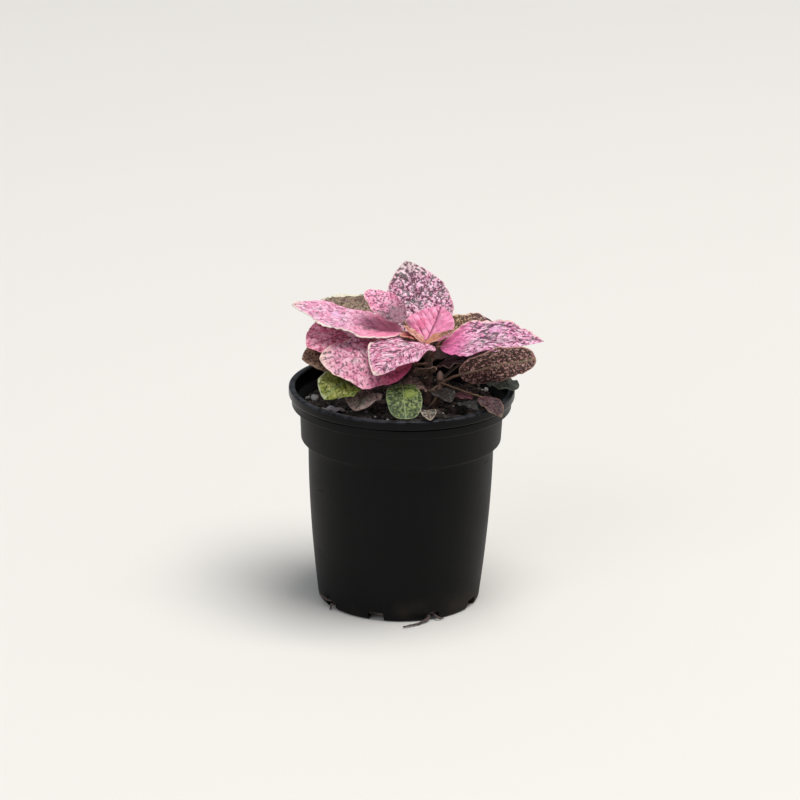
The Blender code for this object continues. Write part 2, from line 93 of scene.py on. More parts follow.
def tint(tree, colour, other, mask, strength=1.0, mode="MIX"):
    # the colour turns into the other one where the mask is 1, as far as the strength says
    if strength < 1:
        mask = times(tree, mask, strength)
    inputs = {0: mask, 6: colour, 7: other}
    return addNode(tree, "Mix", inputs, data_type="RGBA", blend_type=mode).outputs[2]


def fadeStep(tree, value, low, high):
    # 0 up to low and 1 from high on, smooth in between; the other way round where low is the larger
    return addNode(tree, "MapRange", {"Value": value, "From Min": low, "From Max": high},
                   interpolation_type="SMOOTHSTEP").outputs["Result"]


def noiseTexture(tree, vector, scale, detail=2.0, output="Fac"):
    return addNode(tree, "TexNoise", {"Vector": vector, "Scale": scale, "Detail": detail}).outputs[output]


def cellTexture(tree, vector, scale):
    return addNode(tree, "TexVoronoi", {"Vector": vector, "Scale": scale}).outputs["Distance"]


def bumpNormal(tree, height, distance, strength=1.0, normal=None):
    inputs = {"Height": height, "Distance": distance, "Strength": strength}
    if normal:
        inputs["Normal"] = normal
    return addNode(tree, "Bump", inputs).outputs["Normal"]


def objectPlace(tree):
    return addNode(tree, "TexCoord").outputs["Object"]


def heightOf(tree, place):
    return addNode(tree, "SeparateXYZ", {"Vector": place}).outputs["Z"]


def newMaterial(name, **sockets):
    material = bpy.data.materials.new(name)
    material.use_nodes = True
    shader = material.node_tree.nodes["Principled BSDF"]
    for socket, value in sockets.items():
        shader.inputs[socket.replace("_", " ")].default_value = value
    return material, material.node_tree


def finishMaterial(material, colour, rough, normal=None):
    tree = material.node_tree
    sockets = tree.nodes["Principled BSDF"].inputs
    feed(tree, sockets["Base Color"], colour)
    feed(tree, sockets["Roughness"], rough)
    if normal:
        feed(tree, sockets["Normal"], normal)
    return material


# Modelling helpers

def deselect():
    bpy.ops.object.select_all(action="DESELECT")


def startEdit():
    bpy.ops.object.mode_set(mode="EDIT")
    bpy.ops.mesh.select_all(action="SELECT")


def endEdit():
    bpy.ops.object.mode_set(mode="OBJECT")


def pick(piece):
    deselect()
    piece.select_set(True)
    bpy.context.view_layer.objects.active = piece


def copyOf(piece):
    other = piece.copy()
    other.data = piece.data.copy()
    bpy.context.scene.collection.objects.link(other)
    return other


def applyModifier(piece, kind, **settings):
    pick(piece)
    modifier = piece.modifiers.new(kind.title(), kind)
    for setting, value in settings.items():
        setattr(modifier, setting, value)
    bpy.ops.object.modifier_apply(modifier=modifier.name)


def joinPieces(piece, others):
    pick(piece)
    for other in others:
        other.select_set(True)
    bpy.ops.object.join()


def smoothFaces(piece, angle):
    pick(piece)
    bpy.ops.object.shade_smooth_by_angle(angle=math.radians(angle))


def finishPiece(piece, name, node, replaces=True):
    # the piece is named and attached, and stands for a CAD node, which is hidden where the piece replaces it
    piece.name = name
    piece.data.name = name
    deselect()
    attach(piece, "root")
    if replaces:
        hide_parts(node)


def bend(start, control, end, share):
    # point on a curve from start to end that heads for control
    return start * (1 - share) ** 2 + control * (2 * share * (1 - share)) + end * share ** 2


def bendSlope(start, control, end, share):
    return ((control - start) * (1 - share) + (end - control) * share).normalized()


def roundCorners(corners, steps=4):
    # corners are (radius, height, rounding); each becomes a short curve of that reach
    points = []
    for number, (radius, height, rounding) in enumerate(corners):
        corner = Vector((radius, height))
        if not rounding or number in (0, len(corners) - 1):
            points.append(corner)
            continue
        before = Vector(corners[number - 1][:2]) - corner
        after = Vector(corners[number + 1][:2]) - corner
        start = corner + before.normalized() * min(rounding, before.length / 2)
        end = corner + after.normalized() * min(rounding, after.length / 2)
        points += [bend(start, corner, end, step / steps) for step in range(steps + 1)]
    return points


def turnProfile(points, steps):
    # one vertex is extruded from point to point, in (radius, height) mm, and the row is spun about the axis
    deselect()
    bpy.ops.mesh.primitive_plane_add(size=mm)
    startEdit()
    bpy.ops.mesh.merge(type="CENTER")
    bpy.ops.transform.translate(value=(points[0][0] * mm, 0, points[0][1] * mm))
    for first, second in zip(points, points[1:]):
        step = ((second[0] - first[0]) * mm, 0, (second[1] - first[1]) * mm)
        bpy.ops.mesh.extrude_region_move(TRANSFORM_OT_translate={"value": step})
    bpy.ops.mesh.select_all(action="SELECT")
    bpy.ops.mesh.spin(steps=steps, angle=math.tau, center=(0, 0, 0), axis=(0, 0, 1))
    bpy.ops.mesh.select_all(action="SELECT")
    bpy.ops.mesh.remove_doubles(threshold=0.01 * mm)
    bpy.ops.mesh.normals_make_consistent(inside=False)
    endEdit()
    return bpy.context.active_object


def makeTube(points, radii, sides, lumpHeight=0.0, lumpSize=1.0):
    # a curve through the points, in mm, with one radius for each, turned into a closed round tube
    curve = bpy.data.curves.new("tube", "CURVE")
    curve.dimensions = "3D"
    curve.bevel_depth = mm
    curve.bevel_resolution = sides
    curve.use_fill_caps = True
    spline = curve.splines.new("POLY")
    spline.points.add(len(points) - 1)
    for knot, point, radius in zip(spline.points, points, radii):
        knot.co = (*(Vector(point) * mm), 1)
        knot.radius = radius
    piece = bpy.data.objects.new("tube", curve)
    bpy.context.scene.collection.objects.link(piece)
    pick(piece)
    bpy.ops.object.convert(target="MESH")
    piece = bpy.context.active_object
    startEdit()
    bpy.ops.mesh.remove_doubles(threshold=0.005 * mm)
    bpy.ops.mesh.normals_make_consistent(inside=False)
    endEdit()
    if lumpHeight:
        for vertex in piece.data.vertices:
            vertex.co += vertex.normal * lumpHeight * mm * noise.noise(vertex.co / (lumpSize * mm))
    return piece


# Pot: the wall and both rims are one turned shell; the drain slots are cut with rounded blocks

pot = dict(
    inside=[(0, 1.8, 0), (39.5, 1.8, 2.2), (39.9, 6.0, 1.5)],
    insideTop=[(45, 82.2, 0.6), (48.6, 84, 0.8), (49.3, 100.6, 0.8), (53.2, 103.3, 0.9), (53.3, 111, 0.9)],
    lip=[(56.5, 111, 1.0), (56.5, 106.4, 0.9), (53.9, 106.1, 0.3)],
    ring=[(54.9, 105.7, 0.5), (54.9, 101.2, 0.8), (50.9, 100.5, 0.8)],
    band=[(50.1, 84.0, 0.7), (46.5, 82.6, 0.7)],
    foot=[(41.2, 5.5, 1.5), (40.6, 0, 2.4), (36.5, 0, 0.4), (35.8, 0.7, 0.4), (0, 0.7, 0)],
    wallTop=(46.4, 82.0), wallFoot=(41.2, 5.5), wallBow=1.8, wallRows=26, wall=1.4, steps=160, smooth=32,
    slotCount=9, slotFirst=24.0, slotSize=(8.0, 12.0, 6.5), slotMiddle=(40.0, 1.25), slotRounding=1.0,
    # the lip's pale bluish colour is a painted reflection of the sky along its top
    colour=(5, 5, 6), worn=(20, 20, 22), lipSheen=(52, 54, 60), dust=(84, 74, 62), scratch=0.018,
)


def wallRadius(height):
    (topRadius, top), (footRadius, foot) = pot["wallTop"], pot["wallFoot"]
    share = (height - foot) / (top - foot)
    return footRadius + (topRadius - footRadius) * (1 - (1 - share) ** pot["wallBow"])


def makePot():
    top, foot = pot["wallTop"][1], pot["wallFoot"][1]
    heights = [foot + (top - foot) * row / pot["wallRows"] for row in range(1, pot["wallRows"])]
    inner = [(wallRadius(height) - pot["wall"], height, 0) for height in heights]
    outer = [(wallRadius(height), height, 0) for height in reversed(heights)]
    corners = pot["inside"] + inner + pot["insideTop"] + pot["lip"] + pot["ring"] + pot["band"] + outer
    shell = turnProfile(roundCorners(corners + pot["foot"]), pot["steps"])
    out, height = pot["slotMiddle"]
    for number in range(pot["slotCount"]):
        turn = math.radians(pot["slotFirst"] + number * 360 / pot["slotCount"])
        deselect()
        bpy.ops.mesh.primitive_cube_add(size=1)
        block = bpy.context.active_object
        startEdit()
        bpy.ops.transform.resize(value=[side * mm for side in pot["slotSize"]])
        bpy.ops.mesh.bevel(offset=pot["slotRounding"] * mm, segments=3, affect="EDGES")
        endEdit()
        place = Matrix.Translation((0, -out * mm, height * mm))
        block.data.transform(Matrix.Rotation(turn, 4, "Z") @ place)
        applyModifier(shell, "BOOLEAN", object=block, operation="DIFFERENCE")
        bpy.data.objects.remove(block)
    smoothFaces(shell, pot["smooth"])
    return shell


def potMaterial():
    material, tree = newMaterial("potPlastic", Specular_IOR_Level=0.12)
    place = objectPlace(tree)
    height = heightOf(tree, place)
    cloud = noiseTexture(tree, place, 38, 4)
    grain = noiseTexture(tree, place, 1500, 3)
    streaks = noiseTexture(tree, calcVector(tree, "MULTIPLY", place, (260, 260, 14)), 1.0, 3)
    scuffs = noiseTexture(tree, calcVector(tree, "MULTIPLY", place, (90, 90, 420)), 1.0, 5)
    scuffs = fadeStep(tree, scuffs, 0.64, 0.72)
    # fine dust that splashed up from the foot
    dust = times(tree, fadeStep(tree, height, 0.016, 0.0), fadeStep(tree, cloud, 0.42, 0.7))
    dust = times(tree, dust, 0.34)
    colour = tint(tree, pot["colour"], pot["worn"], scuffs, 0.16)
    colour = tint(tree, colour, pot["worn"], fadeStep(tree, streaks, 0.45, 0.8), 0.12)
    colour = tint(tree, colour, pot["dust"], dust)
    # the lip is smoother than the wall, and along its top a pale bluish painted reflection of the sky, broken
    # up by the streaks
    top = fadeStep(tree, times(tree, cloud, -0.002, height), 0.1085, 0.1098)
    lipSheen = times(tree, top, fadeStep(tree, streaks, 0.3, 0.6))
    colour = tint(tree, colour, pot["lipSheen"], lipSheen, 0.75)
    rough = times(tree, fadeStep(tree, height, 0.1, 0.106), -0.2, times(tree, cloud, 0.16, 0.42))
    rough = times(tree, dust, 0.5, times(tree, scuffs, 0.12, rough))
    fine = bumpNormal(tree, grain, pot["scratch"] * mm)
    return finishMaterial(material, colour, rough, bumpNormal(tree, streaks, 0.05 * mm, 0.5, fine))


shell = makePot()
shell.data.materials.append(potMaterial())
finishPiece(shell, "potShell", "pot")
print("pot turned:", len(shell.data.polygons), "faces")


# Soil: a lumpy plug that fills the pot, with crumbs, splinters and white perlite grains on top

soil = dict(
    level=102.0, relief=1.6, lump=9.0, radius=48.9, edgeFall=1.5, rings=46, steps=200, smooth=50,
    fineLumps=[(2.6, 0.55), (1.2, 0.28)], grainSmooth=70,
    underRim=[(48.9, 99.0), (48.3, 85.2), (44.7, 82.2)], wallHeights=(70, 50, 30, 15, 6), wallGap=0.3,
    bottom=[(38.6, 2.4), (37.6, 2.1), (0, 2.1)], sideLump=0.25, sideLumpSize=3.0,
    crumbs=640, crumbSize=(0.45, 1.5), splinters=60, splinterSize=(0.3, 0.6), splinterLength=(4, 9),
    crumbGrain=(1, 0.5, 2), splinterGrain=(1, 0.4, 5), perliteGrain=(3, 0.45, 9),  # (cuts, roughness, seed)
    crumbStretch=(1.0, 1.5), crumbTilt=3.0, splinterTilt=0.5, smallShare=2.2, grainHeight=0.8, grainRise=0.25,
    perlite=30, perliteSize=(0.5, 1.1), perliteRise=0.75, perliteStretch=1.15, perliteTilt=0.4,
    perlitePlaced=[(-43.4, 5.5, 1.9), (-47, 6.5, 1.2), (-9.5, -44.8, 1.1), (-12, -46, 0.7), (42.5, 21, 1.3),
                   (-34, -30, 0.9), (24, -40, 0.8)],
    colour=(92, 82, 78), pale=(184, 166, 156), dark=(28, 25, 23),
    perliteColour=(246, 244, 238), perliteShade=(206, 202, 192),
)


def soilTop(x, y):
    lump = noise.noise(Vector((x, y, 0)) / soil["lump"])
    lump += 0.5 * noise.noise(Vector((y, x, 7)) * 2.1 / soil["lump"])
    sunk = soil["edgeFall"] * (math.hypot(x, y) / soil["radius"]) ** 8
    return soil["level"] + soil["relief"] * lump - sunk


def makeSoil():
    rings = [(soil["radius"] * ring / soil["rings"], soil["level"]) for ring in range(soil["rings"] + 1)]
    sides = [(wallRadius(height) - pot["wall"] - soil["wallGap"], height) for height in soil["wallHeights"]]
    plug = turnProfile(rings + soil["underRim"] + sides + soil["bottom"], soil["steps"])
    for vertex in plug.data.vertices:
        x, y, z = vertex.co / mm
        if z > soil["level"] - 1:
            fine = sum(height * noise.noise(Vector((x, y, 3)) / size) for size, height in soil["fineLumps"])
            vertex.co.z = (soilTop(x, y) + fine) * mm
        else:
            outward = Vector((x, y, 0)).normalized()
            lump = noise.noise(vertex.co / (soil["sideLumpSize"] * mm))
            vertex.co += outward * soil["sideLump"] * mm * lump
    smoothFaces(plug, soil["smooth"])
    return plug


def makeGrain(cuts, roughness, seed):
    # a cube rounded off by a smooth subdivide, then dented
    deselect()
    bpy.ops.mesh.primitive_cube_add(size=1)
    grain = bpy.context.active_object
    startEdit()
    bpy.ops.mesh.subdivide(number_cuts=cuts, smoothness=1)
    endEdit()
    for vertex in grain.data.vertices:
        vertex.co = vertex.co.normalized()
        vertex.co *= 1 + roughness * noise.noise(vertex.co * 1.7 + Vector((seed, 0, 0)))
    return grain


def scatter(grain, places, material, name):
    # copies of a grain, each (x, y, z, size, stretch, tumble), joined into one piece
    copies = []
    for x, y, z, size, stretch, tumble in places:
        other = copyOf(grain)
        turn = Matrix.Rotation(tumble[0], 4, "Z") @ Matrix.Rotation(tumble[1], 4, "X")
        shape = Matrix.Diagonal((size * stretch, size, size * soil["grainHeight"], 1))
        other.data.transform(Matrix.Translation(Vector((x, y, z)) * mm) @ turn @ shape @ Matrix.Scale(mm, 4))
        copies.append(other)
    bpy.data.objects.remove(grain)
    piece = copies[0]
    joinPieces(piece, copies[1:])
    smoothFaces(piece, soil["grainSmooth"])
    piece.data.materials.append(material)
    finishPiece(piece, name, "soil", replaces=False)
    print("scattered:", name, len(piece.data.polygons), "faces")


def soilPlaces(count, sizes, draws, stretches, tilt):
    # spread evenly over the soil, with more small grains than large ones
    places = []
    for number in range(count):
        radius = (soil["radius"] - 1.0) * math.sqrt(draws.random())
        angle = draws.uniform(0, math.tau)
        x, y = radius * math.cos(angle), radius * math.sin(angle)
        size = sizes[0] + (sizes[1] - sizes[0]) * draws.random() ** soil["smallShare"]
        z = soilTop(x, y) + size * soil["grainRise"]
        stretch = draws.uniform(*stretches)
        places.append((x, y, z, size, stretch, (draws.uniform(0, math.tau), draws.uniform(0, tilt))))
    return places


def soilMaterial():
    material, tree = newMaterial("pottingSoil", Specular_IOR_Level=0.3)
    place = objectPlace(tree)
    clods = noiseTexture(tree, place, 260, 5)
    fibres = noiseTexture(tree, place, 900, 4)
    specks = fadeStep(tree, cellTexture(tree, place, 620), 0.22, 0.12)
    colour = tint(tree, soil["dark"], soil["colour"], fadeStep(tree, clods, 0.38, 0.66))
    colour = tint(tree, colour, soil["pale"], fadeStep(tree, fibres, 0.56, 0.74), 0.55)
    colour = tint(tree, colour, soil["pale"], specks, 0.25)
    fine = bumpNormal(tree, fibres, 0.35 * mm)
    rough = times(tree, clods, -0.3, 1.0)
    return finishMaterial(material, colour, rough, bumpNormal(tree, clods, 0.6 * mm, 0.8, fine))


def perliteMaterial():
    material, tree = newMaterial("perlite")
    place = objectPlace(tree)
    pores = fadeStep(tree, cellTexture(tree, place, 2600), 0.1, 0.5)
    stain = fadeStep(tree, noiseTexture(tree, place, 420, 3), 0.45, 0.75)
    colour = tint(tree, soil["perliteShade"], soil["perliteColour"], pores)
    colour = tint(tree, colour, soil["pale"], stain, 0.6)
    return finishMaterial(material, colour, 0.85, bumpNormal(tree, pores, 0.12 * mm))


dirt = soilMaterial()
plug = makeSoil()
plug.data.materials.append(dirt)
finishPiece(plug, "soilPlug", "soil")
print("soil laid:", len(plug.data.polygons), "faces")

draws = random.Random(11)
crumbForm = (soil["crumbStretch"], soil["crumbTilt"])
crumbPlaces = soilPlaces(soil["crumbs"], soil["crumbSize"], draws, *crumbForm)
scatter(makeGrain(*soil["crumbGrain"]), crumbPlaces, dirt, "soilCrumbs")

splinterForm = (soil["splinterLength"], soil["splinterTilt"])
splinterPlaces = soilPlaces(soil["splinters"], soil["splinterSize"], draws, *splinterForm)
scatter(makeGrain(*soil["splinterGrain"]), splinterPlaces, dirt, "soilSplinters")

perlitePlaces = []
for x, y, size in soil["perlitePlaced"]:
    z = soilTop(x, y) + size * soil["perliteRise"]
    perlitePlaces.append((x, y, z, size, soil["perliteStretch"], (x, soil["perliteTilt"])))
perlitePlaces += soilPlaces(soil["perlite"], soil["perliteSize"], draws, *crumbForm)
scatter(makeGrain(*soil["perliteGrain"]), perlitePlaces, perliteMaterial(), "perliteGrains")


# Stems: upright in the soil, bowing to their tops, thicker where leaves leave them

stemShape = dict(straight=104.0, swell=0.25, reach=2.0, taper=1.5, tip=0.4, bury=8.0, rows=34, sides=5,
                 lump=0.16, lumpSize=2.2, smooth=60)
stems = dict(
    center=dict(foot=(13, 0), top=(11, 1, 134), bow=(1.5, 0.5), radius=1.7, joints=(121, 129)),
    left=dict(foot=(-16, 10), top=(-21, 11, 131), bow=(-1, 1), radius=1.5, joints=(115, 124)),
    right=dict(foot=(17, -8), top=(19, -9, 122), bow=(0.5, -1), radius=1.5, joints=(112, 118)),
    front=dict(foot=(-3, -13), top=(-5, -15, 116), bow=(-1, 0), radius=1.3, joints=(110,)),
    back=dict(foot=(5, 22), top=(7, 26, 132), bow=(-1, 1), radius=1.5, joints=(114, 124)),
)
stemColours = dict(bark=(130, 100, 88), green=(104, 88, 74), shade=(70, 50, 44), pale=(166, 138, 124))


def stemAxis(stem, height):
    share = max((height - stemShape["straight"]) / (stem["top"][2] - stemShape["straight"]), 0)
    x, y = (foot + (top - foot) * share + bow * 4 * share * (1 - share)
            for foot, top, bow in zip(stem["foot"], stem["top"], stem["bow"]))
    return Vector((x, y, height))


def stemRadius(stem, height):
    swell = max(1 - abs(height - joint) / stemShape["reach"] for joint in stem["joints"])
    taper = min((stem["top"][2] - height) / stemShape["taper"], 1)
    thickness = 1 + stemShape["swell"] * max(swell, 0)
    return stem["radius"] * thickness * (stemShape["tip"] + (1 - stemShape["tip"]) * taper)


def stemMaterial():
    material, tree = newMaterial("stemBark")
    place = objectPlace(tree)
    fibres = noiseTexture(tree, calcVector(tree, "MULTIPLY", place, (1, 1, 0.22)), 1300, 4)
    blotches = fadeStep(tree, noiseTexture(tree, place, 240, 3), 0.42, 0.68)
    dots = fadeStep(tree, cellTexture(tree, place, 1100), 0.28, 0.16)
    young = fadeStep(tree, heightOf(tree, place), 0.108, 0.130)
    colour = tint(tree, stemColours["bark"], stemColours["green"], young, 0.6)
    colour = tint(tree, colour, stemColours["shade"], blotches)
    colour = tint(tree, colour, stemColours["pale"], fadeStep(tree, fibres, 0.5, 0.8), 0.5)
    colour = tint(tree, colour, stemColours["pale"], dots, 0.5)
    rough = times(tree, fibres, 0.25, 0.42)
    return finishMaterial(material, colour, rough, bumpNormal(tree, fibres, 0.18 * mm))


bark = stemMaterial()
for stemName, stem in stems.items():
    low, high = soil["level"] - stemShape["bury"], stem["top"][2]
    heights = [low + (high - low) * row / stemShape["rows"] for row in range(stemShape["rows"] + 1)]
    piece = makeTube([stemAxis(stem, height) for height in heights],
                     [stemRadius(stem, height) for height in heights],
                     stemShape["sides"], stemShape["lump"], stemShape["lumpSize"])
    piece.data.materials.append(bark)
    smoothFaces(piece, stemShape["smooth"])
    finishPiece(piece, stemName + "Stem", "stem_" + stemName)
print("stems set:", len(stems))


# Roots that come out of the drain slots. A path's points are (turn from the front, radius, height)

rootShape = dict(rows=22, sides=4, lump=0.35, lumpSize=1.3, wander=0.35, wanderStep=0.4, flat=0.3, tip=0.45,
                 drawSeed=3, smooth=60)
roots = dict(
    root_front=dict(name="frontRoot", radius=0.8, seed=1,
                    path=[(22, 39.4, 2.6), (21, 42, 1.9), (13, 45.5, 1.0), (3, 49, 1.0)]),
    root_front_short=dict(name="frontShortRoot", radius=0.7, seed=2,
                          path=[(27, 39.4, 2.4), (28, 42, 1.6), (32, 43, 0.9)]),
    root_left=dict(name="leftRoot", radius=0.8, seed=3,
                   path=[(-54, 39.4, 2.6), (-54, 41.6, 2.4), (-52, 43.2, 1.0)]),
    root_left_short=dict(name="leftShortRoot", radius=0.7, seed=4,
                         path=[(-59, 39.4, 3.2), (-62, 42.3, 4.2), (-67.5, 43, 5.4)]),
)
# the skin colour is darker than the roots' own pale colour: painted shade for where they lie by the pot's
# foot
rootColours = dict(skin=(86, 72, 68), shade=(36, 26, 24), dirt=(20, 14, 13))


def polar(turn, radius, height):
    angle = math.radians(turn)
    return Vector((radius * math.sin(angle), -radius * math.cos(angle), height))


def smoothPath(points, rows):
    # an even row of points on a soft curve through the given ones
    made = []
    padded = [points[0] * 2 - points[1]] + points + [points[-1] * 2 - points[-2]]
    for row in range(rows + 1):
        where = row / rows * (len(points) - 1)
        number = min(int(where), len(points) - 2)
        share = where - number
        a, b, c, d = padded[number:number + 4]
        made.append(0.5 * (2 * b + (c - a) * share + (2 * a - 5 * b + 4 * c - d) * share ** 2
                           + (3 * b - a - 3 * c + d) * share ** 3))
    return made


def rootMaterial():
    material, tree = newMaterial("rootSkin")
    place = objectPlace(tree)
    cloud = noiseTexture(tree, place, 500, 3)
    fibres = noiseTexture(tree, place, 2400, 3)
    colour = tint(tree, rootColours["skin"], rootColours["shade"], fadeStep(tree, cloud, 0.42, 0.7))
    colour = tint(tree, colour, rootColours["dirt"], fadeStep(tree, fibres, 0.58, 0.74), 0.6)
    rough = times(tree, cloud, 0.2, 0.6)
    return finishMaterial(material, colour, rough, bumpNormal(tree, fibres, 0.2 * mm))


rootSkin = rootMaterial()
noise.seed_set(rootShape["drawSeed"])  # so that every run bends the roots the same way
for node, root in roots.items():
    path = smoothPath([polar(*point) for point in root["path"]], rootShape["rows"])
    radii = []
    for number, point in enumerate(path):
        drift = noise.noise_vector(Vector((number * rootShape["wanderStep"], root["seed"] * 5, 0)))
        drift *= rootShape["wander"]
        point += Vector((drift.x, drift.y, drift.z * rootShape["flat"]))
        point.z = max(point.z, root["radius"] * 1.05)  # on the ground, not in it
        radii.append(root["radius"] * (1 - (1 - rootShape["tip"]) * (number / rootShape["rows"]) ** 1.5))
    piece = makeTube(path, radii, rootShape["sides"], rootShape["lump"], rootShape["lumpSize"])
    piece.data.materials.append(rootSkin)
    smoothFaces(piece, rootShape["smooth"])
    finishPiece(piece, root["name"], node)
print("roots laid:", len(roots))


# Leaves. A flat blank is copied for each, bent along its midrib, veined, and given its thickness and stalk

leafShape = dict(
    thickness=0.42, largeWidth=23.0, largeGrid=(54, 100), smallGrid=(30, 54), rowCrowding=0.09,
    baseWidth=1.3, tipWidth=0.35, wobble=0.035, wobbleSize=2.6, waves=2.6, waveShift=0.4,
    swell=0.6, swellSize=7.0, crinkle=0.36, crinkleSize=2.4, ribDepth=0.5, ribWidth=0.8,
    veinSlant=0.75, veinCurve=0.35, veinStagger=0.35, veinSoftness=0.7, quiltFade=2.5,
    stalkRadius=0.72, stalkFlare=1.15, stalkFoot=0.25, stalkReach=0.85, stalkRise=0.45, stalkRows=9,
    stalkSides=3, ribRows=(0.04, 0.1, 0.18, 0.28, 0.4, 0.55, 0.7, 0.85), ribSize=0.8, ribTaper=1.2,
    ribSink=0.55, stalkLeast=0.55, stalkRange=60.0, soilGap=0.4, smooth=70,
)
stalkColours = dict(low=(74, 56, 42), high=(150, 104, 88), shade=(94, 74, 58), pale=(170, 140, 108))

# A leaf's form, in mm: base and tip are the ends of its midrib, and seat is the height where its stalk
# leaves the stem. arch lifts the midrib's middle, roll turns the blade about it, and fold lifts both halves.
# heel and point shape the outline towards base and tip, where low is blunt, and rightPoint is for the right
# side alone, as seen from the base. curl lifts the (left, right) margins, wave ripples them, and quilt is the
# swelling between the side veins.
plainForm = dict(
    arch=2, roll=0, fold=0.0, heel=0.6, point=0.8, curl=(0, 0), wave=0.6, phase=0.2, veins=5, quilt=0.5,
)

# A leaf's finish. Dark specks stand where a noise of the size speck, with some cells in it, is high: share
# sets how much of the blade they take, cluster and gather draw them together in clouds and along the side
# veins, and dots breaks them up. grain below 1 draws them out at grainTurn degrees from the midrib, and
# streak below 1 along the side veins. baseTint and tipTint colour the ground over baseReach and tipReach, and
# baseClear thins the specks near the base. The pale margin starts at marginFrom, on both sides, or for
# marginSide 1 or -1 on the right or the left. patches are blotches: (across, along, reach, colour).
speckled = dict(
    plainForm, ground=(222, 140, 176), pale=(244, 198, 218), dark=(82, 50, 66), second=(84, 90, 84),
    speck=1.4, share=0.34, cells=0.12, cluster=0.12, streak=1.0, grain=1.0, grainTurn=0.0, gather=0.03,
    dots=0.5, paleShare=0.75, dotPale=0.5, rib=(152, 112, 130), ribWidth=0.45, vein=(182, 92, 132),
    veinShare=0.2, margin=(234, 204, 192), marginWidth=0.35, marginSide=0, marginFrom=0.0,
    baseTint=(232, 112, 158), baseReach=0.0, baseClear=0.8, tipTint=(226, 214, 194), tipReach=0.0,
    under=(178, 132, 134), underShare=0.55, patches=(),
)
streaked = dict(
    speckled, grain=0.48, speck=1.25, share=0.28, gather=0.02, dots=0.3, veinShare=0.12,
)
smoothPink = dict(
    speckled, ground=(212, 130, 162), share=0.2, speck=1.5, streak=0.6, gather=0.05, dots=0.2,
    vein=(166, 80, 118), veinShare=0.45,
)
crimson = dict(
    speckled, ground=(220, 124, 154), pale=(240, 186, 204), dark=(122, 62, 82), second=(116, 78, 82),
    speck=1.2, grain=0.4, share=0.3, dots=0.2, vein=(150, 56, 90), margin=(206, 150, 150),
    under=(140, 70, 88),
)
tanSpeckled = dict(
    speckled, ground=(206, 168, 138), pale=(232, 206, 180), dark=(72, 46, 38), second=(92, 86, 60),
    share=0.44, margin=(226, 208, 180), vein=(150, 104, 90), under=(164, 124, 104),
)
tanBud = dict(
    speckled, ground=(190, 134, 120), pale=(222, 168, 156), dark=(136, 80, 76), share=0.16, speck=1.2,
    margin=(226, 178, 152), rib=(176, 100, 88), under=(196, 136, 116), dots=0.0,
)
green = dict(
    speckled, ground=(88, 106, 56), pale=(130, 144, 90), dark=(40, 58, 30), second=(60, 78, 44), share=0.32,
    dots=0.7, rib=(132, 146, 104), vein=(58, 84, 42), veinShare=0.5, margin=(142, 156, 116),
    under=(110, 124, 92),
)
dull = dict(
    speckled, ground=(96, 72, 66), pale=(128, 102, 92), dark=(44, 34, 30), second=(62, 58, 48), share=0.36,
    dots=0.3, rib=(118, 94, 80), vein=(66, 46, 42), margin=(130, 104, 90), under=(90, 68, 62),
)
greyGreen = (98, 112, 104)

